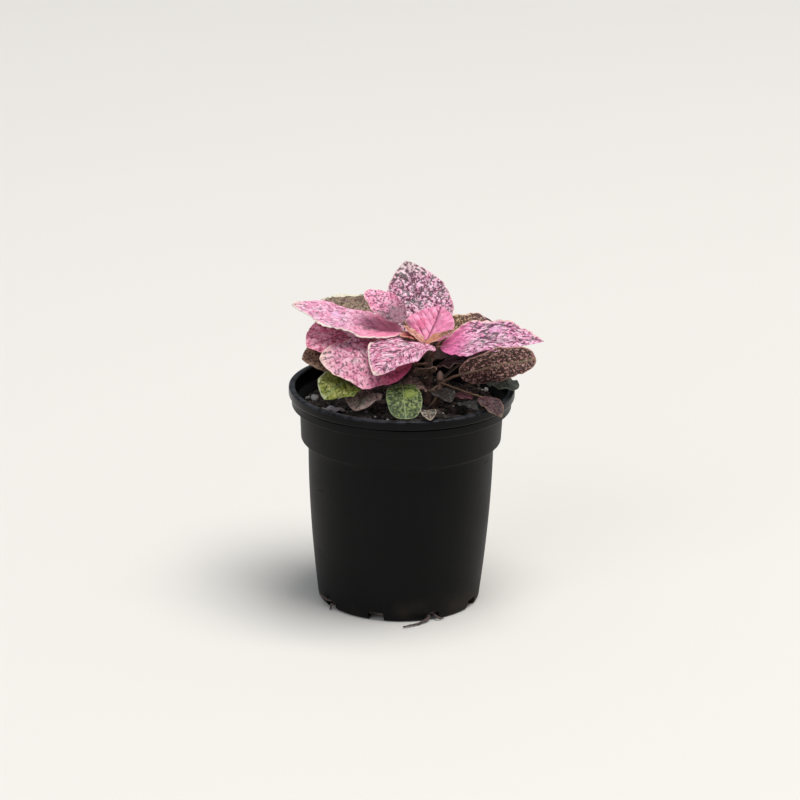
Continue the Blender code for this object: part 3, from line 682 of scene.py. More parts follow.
leaves = dict(
    leaf_top_back=dict(
        speckled, stem="center", seat=126, base=(14, 12, 132.3), tip=(1, 35, 165.5), width=34.5, arch=-2,
        roll=12, fold=0.1, wave=1.0, phase=0.1, veins=7, quilt=0.85,
        share=0.6, ground=(204, 128, 162), pale=(250, 210, 230), dotPale=0.8, tipReach=13,
        dark=(66, 42, 56), tipTint=(212, 212, 198), cluster=0.2,
        patches=[(-0.5, 21, 2.6, greyGreen), (0.8, 17.5, 1.8, greyGreen), (11.8, 21.5, 1.7, greyGreen)]),
    leaf_young=dict(
        smoothPink, stem="center", seat=132.5, base=(11.8, 3.3, 133.6), tip=(19, 14.5, 148.5), width=27,
        arch=-1, fold=0.25, heel=0.55, wave=0.4, phase=0.3, quilt=0.4,
        ground=(230, 136, 172), pale=(248, 174, 206), share=0.02, rib=(120, 54, 88), ribWidth=0.7,
        vein=(206, 96, 140), veinShare=0.2, gather=0.03, margin=(244, 178, 196),
        # the darker crimson patches on one half and the brighter pink patch on the other are painted shade
        # and painted light across the folded blade
        patches=[(-6.5, 8, 4.2, (222, 92, 138)), (-7, 4.5, 3.0, (214, 106, 148)),
                 (7, 10, 5.0, (250, 146, 190))]),
    leaf_bud_left=dict(
        tanBud, stem="center", seat=132.3, base=(11.0, -2.6, 134.2), tip=(0.5, -1.5, 143), width=6.5,
        arch=0, roll=10, fold=0.2, heel=0.35, wave=0.2, phase=0.3, veins=4, quilt=0.15),
    leaf_bud_low=dict(
        tanBud, stem="center", seat=130.3, base=(6, -2.2, 136.6), tip=(-1.5, -4.5, 138.6), width=7,
        arch=0.5, roll=10, fold=0.2, wave=0.2, phase=0.6, veins=4, quilt=0.15,
        ground=(180, 92, 92), pale=(204, 124, 122)),
    leaf_bud_right=dict(
        tanBud, stem="center", seat=131.5, base=(11.2, -4.2, 134.2), tip=(25.5, -5.5, 142.6), width=7,
        arch=0, roll=-10, fold=0.2, heel=0.35, wave=0.2, phase=0.3, veins=4, quilt=0.15,
        ground=(92, 70, 54), pale=(116, 90, 72), dark=(54, 44, 30), baseTint=(208, 144, 118), baseReach=8.0,
        baseClear=0.2),
    leaf_front_pink=dict(
        smoothPink, stem="center", seat=129.5, base=(10.5, -5, 135), tip=(-13.5, -31, 126), width=35,
        arch=3, roll=-1, fold=0.2, point=0.9, wave=1.2, veins=6, quilt=0.85,
        share=0.36, speck=1.3, ground=(206, 122, 156), rib=(120, 92, 112), tipReach=5, marginWidth=1.3,
        marginSide=1, margin=(232, 218, 206), patches=[(3, 10, 1.3, greyGreen), (-3, 20, 1.2, greyGreen)]),
    leaf_right=dict(
        streaked, stem="center", seat=127, base=(19, -1, 132), tip=(70, -8, 138), width=35, arch=3, roll=-6,
        fold=0.08, point=1.0, curl=(1.6, -1.2), wave=1.1, phase=0.6, veins=8, quilt=0.75,
        share=0.54, ground=(200, 120, 158), pale=(246, 198, 222), dark=(60, 38, 54), cluster=0.3,
        baseTint=(232, 108, 170), baseReach=12.0, baseClear=0.6, marginSide=-1, marginWidth=1.0,
        patches=[(4.5, 17, 2.4, greyGreen), (5.5, 22, 2.4, greyGreen), (6, 30, 2.0, greyGreen),
                 (-8, 27, 4.0, (226, 164, 204))]),
    leaf_left=dict(
        streaked, stem="center", seat=128, base=(-0.5, 3, 138), tip=(-55.5, 12, 148.5), width=29, arch=-1.5,
        roll=3, heel=0.45, rightPoint=0.45, curl=(0, 1.6), wave=0.9, phase=0.0, veins=8, quilt=0.75,
        share=0.32, ground=(216, 142, 174), pale=(244, 202, 222), dark=(126, 86, 106),
        second=(120, 114, 116), baseTint=(232, 128, 162), baseReach=26.0, margin=(226, 222, 208),
        marginWidth=1.3, marginSide=-1, tipReach=7,
        patches=[(-2.6, 13.6, 2.0, greyGreen), (-3.5, 17, 2.6, greyGreen), (5, 34, 3.4, (222, 170, 214)),
                 (-6, 30, 2.6, (226, 168, 208))]),
    leaf_front_left=dict(
        streaked, stem="center", seat=123, base=(5, -11, 126.5), tip=(-41, -12, 128.5), width=40, roll=20,
        fold=-0.15, point=0.7, wave=1.2, phase=0.4, veins=8, quilt=0.8,
        share=0.34, grain=0.6, grainTurn=78, speck=1.7, cluster=0.3, ground=(198, 120, 148),
        pale=(228, 180, 198), dark=(88, 60, 74), second=(98, 96, 96), baseTint=(232, 92, 136),
        baseReach=22.0, baseClear=0.5, marginWidth=0.8, marginFrom=30, tipReach=9,
        patches=[(-3.3, 28.4, 2.0, greyGreen), (6.6, 31, 2.4, (228, 116, 158))]),
    leaf_right_behind=dict(
        speckled, stem="center", seat=123, base=(22, 13, 132.5), tip=(52, 28, 133), width=27, arch=3,
        roll=-15, fold=0.05, point=0.9, wave=0.8, phase=0.5, veins=7,
        share=0.8, ground=(168, 116, 126), pale=(226, 188, 192), dark=(34, 20, 16), dots=0.4,
        second=(70, 62, 46), baseTint=(206, 168, 112), baseReach=26.0, baseClear=0.0, marginWidth=0.9),
    leaf_back_small=dict(
        speckled, stem="center", seat=131.5, base=(0.5, 3, 143.5), tip=(-19, 14, 156), width=19, arch=1,
        roll=12, fold=0.05, point=0.7, wave=0.7, phase=0.3, quilt=0.7,
        ground=(212, 126, 158), pale=(248, 188, 214), share=0.42, dark=(92, 42, 66), cluster=0.25,
        # the grey-mauve baseTint is painted shade on the blade's lower part, near its base
        baseTint=(134, 96, 110), baseReach=10.0, baseClear=0.0, marginWidth=0.7, marginFrom=16),
    leaf_left_low=dict(
        crimson, stem="left", seat=124, base=(-26.5, 14, 131), tip=(-47.5, -2, 131), width=27, roll=22,
        wave=0.8, phase=0.7, veins=6, quilt=0.6),
    leaf_left_behind=dict(
        tanSpeckled, stem="back", seat=129, base=(-12.5, 29, 142.6), tip=(-43, 32, 144), width=19,
        heel=0.22, point=0.6, wave=0.3, veins=6, quilt=0.3, curl=(-4.5, 0.8),
        ground=(106, 86, 72), pale=(160, 138, 120), dark=(46, 32, 26), margin=(232, 228, 206),
        marginWidth=2.4, marginSide=1, speck=1.2),
    leaf_left_inner=dict(
        streaked, stem="center", seat=125, base=(0, 14, 131.5), tip=(-30, 26, 131), width=20, point=0.6,
        wave=0.4, phase=0.4, quilt=0.45, curl=(-3.2, 2.2),
        share=0.16, ground=(240, 168, 194), pale=(250, 212, 228), dark=(120, 80, 94)),
    leaf_left_dark=dict(
        dull, stem="left", seat=115, base=(-30, 8, 122), tip=(-50, 0, 124), width=22, roll=30,
        ground=(112, 80, 66), pale=(160, 132, 110), dark=(42, 30, 24)),
    leaf_left_green=dict(
        green, stem="front", seat=114, base=(-24, -12, 118), tip=(-38, -30, 113), width=24, arch=3, roll=10,
        wave=0.8, phase=0.1, veins=6, quilt=0.7,
        ground=(102, 112, 38), pale=(144, 146, 80), dark=(50, 52, 22), second=(74, 64, 38), marginWidth=1.3,
        margin=(158, 164, 134), marginSide=1),
    leaf_right_low=dict(
        tanSpeckled, stem="right", seat=117, base=(28.5, -13, 121.5), tip=(66, -16, 131.5), width=26,
        arch=1, roll=54, heel=0.42, point=0.5, rightPoint=0.28, wave=0.8, phase=0.4, veins=7, quilt=0.4,
        share=0.7, speck=1.5, cells=0.4, ground=(160, 112, 106), pale=(210, 166, 158), dark=(26, 11, 10),
        second=(24, 17, 12), dots=0.4, rib=(150, 132, 104), ribWidth=0.8, margin=(190, 150, 134),
        underShare=0.1),
    # this leaf's near-black colours are painted shade, for its place deep in the plant's shadow
    leaf_right_shade=dict(
        green, stem="right", seat=112, base=(29, -25, 110.5), tip=(38, -38, 111), width=11, veins=4,
        quilt=0.3,
        ground=(26, 26, 25), pale=(52, 50, 50), dark=(12, 12, 11), second=(16, 18, 14), rib=(42, 42, 38),
        vein=(16, 18, 16), margin=(42, 42, 38)),
    leaf_rim_right=dict(
        green, stem="right", seat=110, base=(42, -1, 114), tip=(58, -6, 112.5), width=18, arch=1.5,
        point=0.5, wave=0.8, phase=0.9, quilt=0.45,
        ground=(70, 76, 64), pale=(104, 110, 98), dark=(32, 38, 32), second=(46, 54, 44), rib=(98, 100, 86),
        vein=(44, 52, 42), margin=(98, 102, 88), under=(84, 86, 74), dots=0.3),
    leaf_rim_small=dict(
        crimson, stem="right", seat=116, base=(39, -28, 115), tip=(49, -41, 109), width=11.5, wave=0.5,
        phase=0.4, quilt=0.35,
        ground=(58, 30, 38), pale=(92, 66, 68), dark=(20, 12, 12), second=(34, 26, 22), grain=1.0,
        vein=(66, 32, 42), rib=(92, 64, 66), share=0.45, margin=(108, 90, 76), marginWidth=0.9,
        marginFrom=7),
    leaf_front_green=dict(
        green, stem="front", seat=114, base=(0, -22, 119), tip=(2.2, -44.5, 108.5), width=17.5, fold=0.05,
        heel=0.35, point=0.32, phase=0.1, veins=6, quilt=0.6,
        ground=(68, 86, 36), pale=(138, 150, 92), dark=(14, 20, 8), share=0.54, dots=0.5,
        # the dark green patches on one half are painted shadow, and the pale yellow-green patch is painted
        # light on the other half
        patches=[(6, 9, 6.0, (32, 52, 30)), (5, 18, 5.0, (38, 58, 36)), (-1, 24, 4.0, (44, 66, 40)),
                 (-3, 9, 4.0, (150, 168, 84))]),
    leaf_rim_front=dict(
        tanBud, stem="right", seat=109, base=(12, -39, 111), tip=(14, -57, 112.5), width=8, point=0.7,
        wave=0.3, phase=0.1, veins=4, quilt=0.25,
        ground=(92, 84, 76), pale=(166, 152, 140), dark=(22, 17, 12), share=0.64, rib=(112, 96, 82),
        margin=(178, 164, 144)),
    leaf_front_curled=dict(
        dull, stem="front", seat=109, base=(-15, -12, 111), tip=(-23, -26, 106), width=20, fold=0.2,
        wave=0.8, phase=0.6, quilt=0.6,
        ground=(186, 156, 148), pale=(212, 188, 178), dark=(120, 96, 88), marginWidth=1.1,
        second=(104, 98, 84), margin=(206, 176, 166),
        patches=[(-1, 11, 3.2, (136, 144, 118)), (0, 7, 2.6, (124, 134, 106))]),
    leaf_dry=dict(
        dull, stem=None, base=(-28, -17, 104.5), tip=(-41, -20, 105), width=9, arch=1, roll=-6, phase=0.6,
        quilt=0.3,
        ground=(192, 180, 190), pale=(226, 216, 222), dark=(128, 114, 120), share=0.25,
        second=(120, 112, 106), margin=(206, 194, 190), under=(160, 148, 150)),
    leaf_center_dark=dict(
        dull, stem="right", seat=114, base=(12, -15, 114), tip=(1, -19, 118), width=14, roll=10, quilt=0.4,
        ground=(134, 108, 98), pale=(172, 142, 136), dark=(62, 48, 40)),
    leaf_center_low=dict(
        crimson, stem="right", seat=107, base=(25, -14, 111), tip=(35, -20, 111), width=12, arch=1,
        fold=0.1, wave=0.5, phase=0.5, quilt=0.3,
        ground=(80, 38, 48), pale=(104, 66, 72), dark=(34, 20, 24), speck=1.3, second=(40, 30, 28),
        margin=(104, 70, 70)),
    # this leaf's near-black colours are painted shade, filling the dark middle of the plant
    leaf_center_shade=dict(
        dull, stem="center", seat=119, base=(18, -3, 122.5), tip=(34, -5, 127), width=18, arch=1, fold=0.05,
        point=0.6, phase=0.3, quilt=0.4,
        ground=(50, 31, 33), pale=(100, 68, 70), dark=(20, 14, 13), second=(24, 22, 18)),
    # this leaf's near-black colours are painted shade for the dark middle of the plant, not a brown leaf
    # colour
    leaf_center_brown=dict(
        dull, stem="right", seat=112, base=(16, -21, 115.5), tip=(24, -36, 114.5), width=13, fold=0.05,
        phase=0.7, quilt=0.4,
        ground=(26, 23, 20), pale=(44, 38, 35), dark=(12, 9, 7), second=(15, 13, 10), margin=(42, 36, 32),
        rib=(36, 32, 27), under=(30, 24, 22)),
    leaf_center_front=dict(
        dull, stem="center", seat=116, base=(10.5, -9.5, 119.5), tip=(13, -19, 126.5), width=12, arch=1,
        fold=0.1, phase=0.1, veins=4, quilt=0.35,
        ground=(92, 72, 62), pale=(120, 98, 84)),
    leaf_back_top=dict(
        speckled, stem="back", seat=130, base=(5, 31, 131.5), tip=(9, 55, 130.5), width=30, arch=3,
        fold=0.1, point=0.85, wave=0.9, veins=6, quilt=0.6),
    leaf_back_right=dict(
        green, stem="back", seat=124, base=(18, 34, 125.5), tip=(42, 50, 125), width=28, arch=3, fold=0.08,
        point=0.85, wave=0.8, phase=0.6, veins=6, quilt=0.6,
        ground=(72, 92, 54), pale=(190, 140, 148)),
    # this leaf's dark brown colours are painted shade, closing a gap in the middle of the plant
    leaf_back_inner=dict(
        dull, stem="back", seat=120, base=(12, 22, 124), tip=(30, 12, 124), width=19, roll=-20, fold=0.05,
        heel=0.45, point=0.6, wave=0.5, phase=0.8, quilt=0.4,
        ground=(70, 46, 44), pale=(98, 70, 68), dark=(30, 22, 18)),
    leaf_back_left=dict(
        streaked, stem="back", seat=124, base=(-8, 33, 126), tip=(-33, 48, 125), width=28, arch=3,
        fold=0.08, point=0.85, wave=0.9, phase=0.9, veins=6, quilt=0.6),
    leaf_back_low=dict(
        green, stem="back", seat=113, base=(0, 36, 118), tip=(-8, 57, 114), width=18, arch=3, fold=0.1,
        point=0.85, wave=0.7, phase=0.4),
    leaf_back_rim=dict(
        dull, stem="back", seat=113, base=(22, 32, 117), tip=(42, 42, 113), width=18, arch=3, fold=0.1,
        point=0.85, wave=0.7, phase=0.1),
    leaf_left_back=dict(
        green, stem="left", seat=115, base=(-30, 18, 120), tip=(-46, 34, 116), width=20, arch=3, fold=0.1,
        point=0.85, wave=0.8, phase=0.7),
    leaf_right_back=dict(
        dull, stem="right", seat=118, base=(34, 7, 124), tip=(57, 17, 124), width=24, arch=3, fold=0.1,
        point=0.85, wave=0.8, phase=0.3,
        ground=(150, 98, 104), pale=(206, 158, 164), dark=(44, 26, 26)),
)


def outline(share, heel, point):
    # half-width of a blade from its base (0) to its tip (1), at most 1; low powers make blunt ends
    peak = heel / (heel + point)
    most = peak ** heel * (1 - peak) ** point
    return share ** heel * (1 - share) ** point / most


def bladeFrame(leaf):
    # base, control point and tip of the midrib, and the direction across the blade
    base, tip = Vector(leaf["base"]), Vector(leaf["tip"])
    along = (tip - base).normalized()
    level = along.cross(upward).normalized()
    roll = math.radians(leaf["roll"])
    across = level * math.cos(roll) + level.cross(along) * math.sin(roll)
    control = (base + tip) / 2 + across.cross(along) * 2 * leaf["arch"]
    return base, control, tip, across


def halfWidth(leaf, length, share, side):
    # the margin wobbles a little, differently on the two sides
    narrowest = (leafShape["baseWidth"] * (1 - share) + leafShape["tipWidth"] * share) / 2
    margin = Vector((share * length / leafShape["wobbleSize"], 5 if side > 0 else 0, leaf["phase"] * 30))
    wobble = 1 + leafShape["wobble"] * noise.noise(margin) * min(share * 8, 1)
    point = leaf.get("rightPoint", leaf["point"]) if side > 0 else leaf["point"]
    return max(leaf["width"] / 2 * outline(share, leaf["heel"], point) * wobble, narrowest)


def veinRow(leaf, length, share, side):
    # place along the midrib, in vein spacings, where the side vein through this point starts
    out = abs(side) * halfWidth(leaf, length, share, side)
    start = share * length - out * leafShape["veinSlant"] - leafShape["veinCurve"] * out * out / leaf["width"]
    return start * leaf["veins"] / length + (leafShape["veinStagger"] if side > 0 else 0)


def bladePoint(leaf, bladeAxes, share, side):
    base, control, tip, across = bladeAxes
    length = (tip - base).length
    normal = across.cross(bendSlope(base, control, tip, share)).normalized()
    half = halfWidth(leaf, length, share, side)
    out = abs(side) * half
    fade = math.sin(math.pi * share)
    full = min(fade * 2, 1)
    shift = leafShape["waveShift"] if side > 0 else 0
    ripple = math.sin(math.tau * (leafShape["waves"] * share + leaf["phase"] + shift))
    lift = leaf["fold"] * out * fade + leaf["wave"] * side * side * ripple * fade
    lift += leaf["curl"][side > 0] * side ** 4 * full
    # the blade swells between the side veins, dips along the midrib, and is crinkled all over
    between = abs(math.sin(math.pi * veinRow(leaf, length, share, side))) ** leafShape["veinSoftness"]
    lift += leaf["quilt"] * (between - 0.5) * min(out / leafShape["quiltFade"], 1) * (1 - side ** 4) * full
    lift -= leafShape["ribDepth"] * math.exp(-(out / leafShape["ribWidth"]) ** 2) * min(fade * 3, 1)
    place = bend(base, control, tip, share) + across * half * side
    lift += leafShape["swell"] * noise.noise(place / leafShape["swellSize"]) * fade
    lift += leafShape["crinkle"] * noise.noise(place / leafShape["crinkleSize"]) * full * (1 + side ** 4)
    return place + normal * lift


def makeBlank(grid):
    # flat sheet over -1 to 1 across and along
    deselect()
    bpy.ops.mesh.primitive_grid_add(x_subdivisions=grid[0], y_subdivisions=grid[1], size=2)
    return bpy.context.active_object


def makeBlade(blank, leaf, bladeAxes):
    blade = copyOf(blank)
    mesh = blade.data
    length = (bladeAxes[2] - bladeAxes[0]).length
    places = []
    for vertex in mesh.vertices:
        side, share = vertex.co.x, (vertex.co.y + 1) / 2
        share = min(max(share - leafShape["rowCrowding"] * math.sin(math.tau * share), 0), 1)
        places.append((share, side))
    # two flat plans of the blade: a plain one, and one whose rows follow the side veins
    for layer in list(mesh.uv_layers):
        mesh.uv_layers.remove(layer)
    plan = mesh.uv_layers.new(name="plan")
    rows = mesh.uv_layers.new(name="rows")
    for loop in mesh.loops:
        share, side = places[loop.vertex_index]
        out = side * halfWidth(leaf, length, share, side)
        plan.data[loop.index].uv = (out / cm, share * length / cm)
        vein = veinRow(leaf, length, share, side) * length / leaf["veins"]
        rows.data[loop.index].uv = (out / cm, vein / cm)
    edge = mesh.attributes.new("edge", "FLOAT", "POINT")
    rowCount = mesh.attributes.new("row", "FLOAT", "POINT")
    for vertex, (share, side) in zip(mesh.vertices, places):
        vertex.co = bladePoint(leaf, bladeAxes, share, side) * mm
        out = (1 - abs(side)) * halfWidth(leaf, length, share, side)
        edge.data[vertex.index].value = min(out, (1 - share) * length * 0.6)
        rowCount.data[vertex.index].value = veinRow(leaf, length, share, side)
    mesh.update()
    # the side that Solidify adds is the underside, and an attribute tells the finish which that is
    inner = blade.vertex_groups.new(name="inner")
    applyModifier(blade, "SOLIDIFY", thickness=leafShape["thickness"] * mm, offset=0, use_even_offset=True,
                  shell_vertex_group="inner")
    under = mesh.attributes.new("under", "FLOAT", "POINT")
    for vertex in mesh.vertices:
        weights = [group.weight for group in vertex.groups if group.group == inner.index]
        under.data[vertex.index].value = sum(weights)
    blade.vertex_groups.clear()
    return blade


def makeStalk(leaf, bladeAxes):
    # out of the stem, along a curve to the blade's base, and on under the midrib as it thins
    stem = stems[leaf["stem"]]
    base, control, tip, across = bladeAxes
    axis = stemAxis(stem, leaf["seat"])
    outward = base - axis
    outward.z = 0
    seat = axis + outward.normalized() * (stemRadius(stem, leaf["seat"]) + leafShape["stalkReach"])
    turn = base - bendSlope(base, control, tip, 0) * leafShape["stalkRise"] * (base - seat).length
    points, radii = [axis], [leafShape["stalkFlare"]]
    thickness = min(1, leafShape["stalkLeast"] + leaf["width"] / leafShape["stalkRange"])
    thin = leafShape["stalkRadius"] * thickness
    for row in range(leafShape["stalkRows"] + 1):
        share = row / leafShape["stalkRows"]
        points.append(bend(seat, turn, base, share))
        radii.append(thin * (1 + leafShape["stalkFoot"] * (1 - share) ** 4))
    for share in leafShape["ribRows"]:
        normal = across.cross(bendSlope(base, control, tip, share)).normalized()
        radius = thin * (1 - share) ** leafShape["ribTaper"] * leafShape["ribSize"]
        points.append(bladePoint(leaf, bladeAxes, share, 0) - normal * (radius * leafShape["ribSink"]))
        radii.append(radius)
    return makeTube(points, radii, leafShape["stalkSides"])


def stalkMaterial():
    material, tree = newMaterial("leafStalk")
    place = objectPlace(tree)
    cloud = noiseTexture(tree, place, 300, 3)
    fibres = noiseTexture(tree, place, 1500, 3)
    height = fadeStep(tree, heightOf(tree, place), 0.112, 0.132)
    colour = tint(tree, stalkColours["low"], stalkColours["high"], height)
    colour = tint(tree, colour, stalkColours["shade"], fadeStep(tree, cloud, 0.4, 0.68))
    colour = tint(tree, colour, stalkColours["pale"], fadeStep(tree, fibres, 0.5, 0.78), 0.5)
    rough = times(tree, fibres, 0.2, 0.42)
    return finishMaterial(material, colour, rough, bumpNormal(tree, fibres, 0.1 * mm))


def leafMaterial(name, leaf, seed):
    length = (Vector(leaf["tip"]) - Vector(leaf["base"])).length
    material, tree = newMaterial(name, Subsurface_Weight=0.12, Subsurface_Scale=0.0012,
                                 Subsurface_Radius=(1.0, 0.55, 0.45), Specular_IOR_Level=0.28)
    plan = addNode(tree, "UVMap", uv_map="plan").outputs[0]
    rows = addNode(tree, "UVMap", uv_map="rows").outputs[0]
    edge = addNode(tree, "Attribute", attribute_name="edge").outputs["Fac"]
    row = addNode(tree, "Attribute", attribute_name="row").outputs["Fac"]
    under = addNode(tree, "Attribute", attribute_name="under").outputs["Fac"]
    separate = addNode(tree, "SeparateXYZ", {"Vector": plan})
    across, along = separate.outputs["X"], separate.outputs["Y"]
    out = times(tree, calc(tree, "ABSOLUTE", across), cm)

    # places for the patterns, shifted so that no two leaves match, and warped so that specks are ragged
    shift = (seed * 3.7, seed * 1.9, seed * 0.61)
    spread = calcVector(tree, "ADD", plan, shift)
    cloud = noiseTexture(tree, spread, 1.1, 2)
    mottle = noiseTexture(tree, spread, 3.2, 3)
    fine = noiseTexture(tree, spread, 22, 3)
    warp = calcVector(tree, "SUBTRACT", noiseTexture(tree, spread, 7, 2, "Color"), (0.5, 0.5, 0.5))
    drawn = spread
    if leaf["grain"] < 1:
        turn = math.radians(leaf["grainTurn"])
        beside = dotProduct(tree, plan, (math.cos(turn), -math.sin(turn), 0))
        onward = times(tree, dotProduct(tree, plan, (math.sin(turn), math.cos(turn), 0)), leaf["grain"])
        drawn = addNode(tree, "CombineXYZ", {0: beside, 1: onward}).outputs[0]
        drawn = calcVector(tree, "ADD", drawn, shift)
    elif leaf["streak"] < 1:
        drawn = calcVector(tree, "ADD", calcVector(tree, "MULTIPLY", rows, (leaf["streak"], 1, 1)), shift)
    speckPlace = calcVector(tree, "ADD", drawn, calcVector(tree, "SCALE", warp, 0.12))
    frayed = noiseTexture(tree, speckPlace, 13 / leaf["speck"], 3)
    unevenness = calc(tree, "SUBTRACT", frayed, 0.5)
    # distance to the nearest side vein, in vein spacings
    nearest = calc(tree, "SUBTRACT", calc(tree, "FRACT", calc(tree, "ADD", row, 10.5)), 0.5)
    nearest = calc(tree, "ABSOLUTE", nearest)

    # ground colour, paler in clouds and streaks and towards the middle of each dot
    cells = cellTexture(tree, speckPlace, 10 / leaf["speck"])
    dotPale = times(tree, fadeStep(tree, cells, 0.38, 0.12), leaf["dotPale"])
    streaky = times(tree, unevenness, -0.9, mottle)
    streakPale = times(tree, fadeStep(tree, streaky, 0.42, 0.64), leaf["paleShare"])
    colour = tint(tree, leaf["ground"], leaf["pale"], calc(tree, "ADD", streakPale, dotPale, clamp=True))
    if leaf["baseReach"]:
        nearBase = fadeStep(tree, times(tree, mottle, -1.2, along), leaf["baseReach"] / cm, 0.0)
        colour = tint(tree, colour, leaf["baseTint"], nearBase, 0.85)
    if leaf["tipReach"]:
        fromTip = calc(tree, "SUBTRACT", length / cm, along)
        nearTip = fadeStep(tree, times(tree, mottle, 0.6, fromTip), 0.3 + leaf["tipReach"] / cm, 0.1)
        colour = tint(tree, colour, leaf["tipTint"], nearTip, 0.7)
    veinMask = times(tree, fadeStep(tree, nearest, 0.075, 0.015), fadeStep(tree, edge, 0.5, 3.0))
    colour = tint(tree, colour, leaf["vein"], veinMask, leaf["veinShare"])

    # dark specks, more of them along the veins and where the clouds are thin, broken up by small dots
    limit = times(tree, calc(tree, "SUBTRACT", cloud, 0.5), -leaf["cluster"], 0.68 - 0.3 * leaf["share"])
    limit = calc(tree, "SUBTRACT", limit, times(tree, fadeStep(tree, nearest, 0.3, 0.0), leaf["gather"]))
    field = times(tree, calc(tree, "SUBTRACT", cells, 0.45), leaf["cells"], frayed)
    dark = fadeStep(tree, calc(tree, "SUBTRACT", field, limit), -0.025, 0.035)
    if leaf["dots"]:
        dots = cellTexture(tree, calcVector(tree, "ADD", speckPlace, (3.3, 1.7, 0)), 19 / leaf["speck"])
        dots = times(tree, fadeStep(tree, dots, 0.38, 0.24), leaf["dots"])
        dark = times(tree, dark, calc(tree, "SUBTRACT", 1.0, dots))
    dark = times(tree, dark, fadeStep(tree, edge, 0.1, 0.9))
    if leaf["baseReach"]:
        dark = times(tree, dark, times(tree, nearBase, -leaf["baseClear"], 1.0))
    darkColour = tint(tree, leaf["dark"], leaf["second"], fadeStep(tree, mottle, 0.42, 0.6))
    colour = tint(tree, colour, darkColour, dark, 0.9)

    # blotches at set places, frayed and broken up by the same noise
    if leaf["patches"]:
        blotchPlace = calcVector(tree, "ADD", plan, calcVector(tree, "SCALE", warp, 0.5))
        broken = times(tree, fadeStep(tree, frayed, 0.43, 0.54), 0.6, 0.2)
    for x, y, reach, blotchColour in leaf["patches"]:
        away = calcVector(tree, "SUBTRACT", blotchPlace, (x / cm, y / cm, 0))
        distance = addNode(tree, "VectorMath", {0: away}, operation="LENGTH").outputs["Value"]
        blotch = fadeStep(tree, times(tree, unevenness, 0.5, distance), reach / 8.5, reach / 16)
        colour = tint(tree, colour, blotchColour, times(tree, blotch, broken))

    # midrib, and a pale margin, broken up, on both sides or one of them
    ribReach = times(tree, mottle, leaf["ribWidth"], 0.1)
    ribMask = fadeStep(tree, calc(tree, "SUBTRACT", out, ribReach), leaf["ribWidth"] * 0.4, 0.0)
    colour = tint(tree, colour, leaf["rib"], ribMask, 0.75)
    marginReach = times(tree, times(tree, cloud, 1.6, 0.1), leaf["marginWidth"])
    margin = fadeStep(tree, calc(tree, "SUBTRACT", edge, marginReach), 0.2, -0.35)
    margin = times(tree, margin, fadeStep(tree, streaky, 0.22, 0.5))
    if leaf["marginSide"]:
        middle = 0.02 * leaf["marginSide"]
        margin = times(tree, margin, fadeStep(tree, across, -middle, middle))
    if leaf["marginFrom"]:
        start = leaf["marginFrom"] / cm
        margin = times(tree, margin, fadeStep(tree, along, start - 0.4, start + 0.4))
    colour = tint(tree, colour, leaf["margin"], margin, 0.85)
    colour = tint(tree, colour, leaf["under"], under, leaf["underShare"])
    shade = times(tree, fine, 0.36, 0.82)
    shade = addNode(tree, "CombineColor", {"Red": shade, "Green": shade, "Blue": shade}).outputs[0]
    colour = tint(tree, colour, shade, 1.0, mode="MULTIPLY")

    rough = times(tree, under, 0.15, times(tree, fine, 0.22, 0.40))
    skin = bumpNormal(tree, cellTexture(tree, spread, 30), 0.06 * mm, 0.8)
    skin = bumpNormal(tree, frayed, 0.3 * mm, 0.7, skin)
    return finishMaterial(material, colour, rough, bumpNormal(tree, veinMask, -0.15 * mm, 1.0, skin))


def settleOnSoil(piece, gap):
    lowest = min(co.z / mm - soilTop(co.x / mm, co.y / mm) for co in (v.co for v in piece.data.vertices))
    piece.data.transform(Matrix.Translation((0, 0, (gap - lowest) * mm)))


def pieceName(node):
    # leaf_top_back becomes topBackLeaf
    words = node.split("_")[1:]
    return words[0] + "".join(word.title() for word in words[1:]) + "Leaf"


largeBlank = makeBlank(leafShape["largeGrid"])
smallBlank = makeBlank(leafShape["smallGrid"])
stalkSkin = stalkMaterial()
for number, (node, leaf) in enumerate(leaves.items(), 1):
    bladeAxes = bladeFrame(leaf)
    piece = makeBlade(largeBlank if leaf["width"] >= leafShape["largeWidth"] else smallBlank, leaf, bladeAxes)
    piece.data.materials.append(leafMaterial(pieceName(node), leaf, number))
    if leaf["stem"]:
        stalk = makeStalk(leaf, bladeAxes)
        stalk.data.materials.append(stalkSkin)
        joinPieces(piece, [stalk])
    else:
        settleOnSoil(piece, leafShape["soilGap"])
    smoothFaces(piece, leafShape["smooth"])
    finishPiece(piece, pieceName(node), node)
for blank in (largeBlank, smallBlank):
    bpy.data.objects.remove(blank)
print("leaves grown:", len(leaves))


# Floor, light and camera

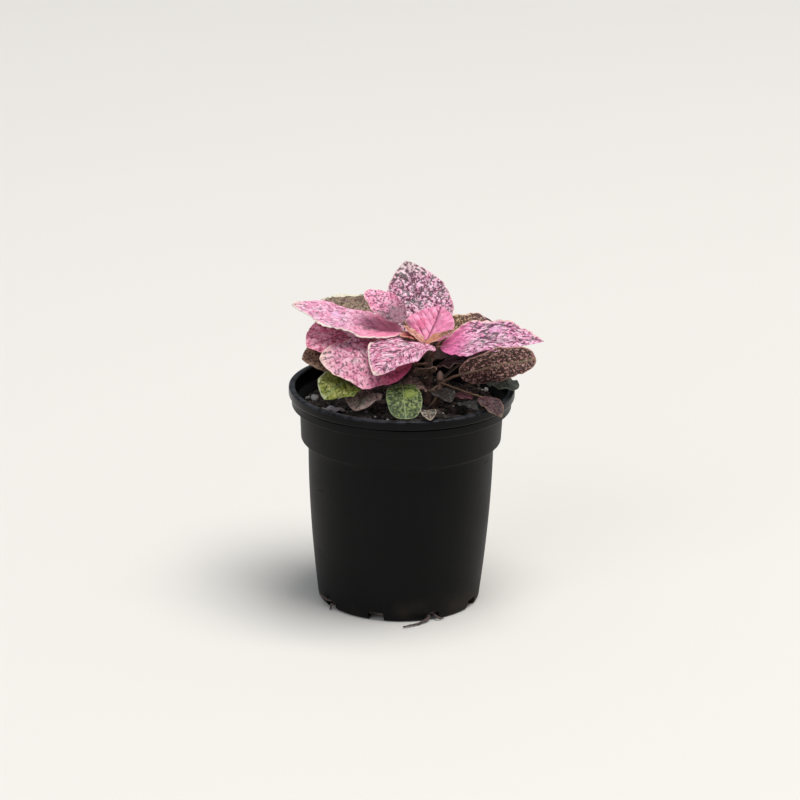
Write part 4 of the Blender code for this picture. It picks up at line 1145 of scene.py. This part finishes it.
studio = dict(
    floorSize=30.0, floorColour=(226, 224, 220), floorShade=(200, 198, 194), floorRoughness=0.7,
    sky=(196, 200, 206), skyStrength=0.46,
    key=dict(place=(1.2, -0.4, 5.1), size=3.4, power=290.0, colour=(1.0, 0.97, 0.93)),
    fill=dict(place=(-3.2, -4.6, 3.0), size=4.8, power=105.0, colour=(0.94, 0.97, 1.0)),
    aim=(-0.0008, 0.0, 0.1033), elevation=18.7, distance=2.0, roll=0.9, lens=180.0, viewEnd=100.0,
)


def floorMaterial():
    material, tree = newMaterial("paleFloor", Specular_IOR_Level=0.2)
    cloud = noiseTexture(tree, objectPlace(tree), 3, 4)
    colour = tint(tree, studio["floorColour"], studio["floorShade"], cloud, 0.08)
    return finishMaterial(material, colour, studio["floorRoughness"])


deselect()
bpy.ops.mesh.primitive_plane_add(size=studio["floorSize"])
floor = bpy.context.active_object
floor.name = "floor"
floor.data.materials.append(floorMaterial())

world = bpy.data.worlds.new("paleStudio")
world.use_nodes = True
background = world.node_tree.nodes["Background"]
feed(world.node_tree, background.inputs["Color"], studio["sky"])
feed(world.node_tree, background.inputs["Strength"], studio["skyStrength"])
bpy.context.scene.world = world

aim = Vector(studio["aim"])
for lightName in ("key", "fill"):
    lamp = studio[lightName]
    place = Vector(lamp["place"])
    bpy.ops.object.light_add(type="AREA", location=place)
    light = bpy.context.active_object
    light.name = lightName + "Light"
    light.data.size = lamp["size"]
    light.data.energy = lamp["power"]
    light.data.color = lamp["colour"]
    light.rotation_euler = (aim - place).to_track_quat("-Z", "Y").to_euler()

elevation = math.radians(studio["elevation"])
back = Vector((0, -math.cos(elevation), math.sin(elevation)))
turn = (-back).to_track_quat("-Z", "Y").to_matrix() @ Matrix.Rotation(math.radians(studio["roll"]), 3, "Z")
bpy.ops.object.camera_add(location=aim + back * studio["distance"], rotation=turn.to_euler())
camera = bpy.context.active_object
camera.data.lens = studio["lens"]
camera.data.clip_end = studio["viewEnd"]
bpy.context.scene.camera = camera
print("studio ready")
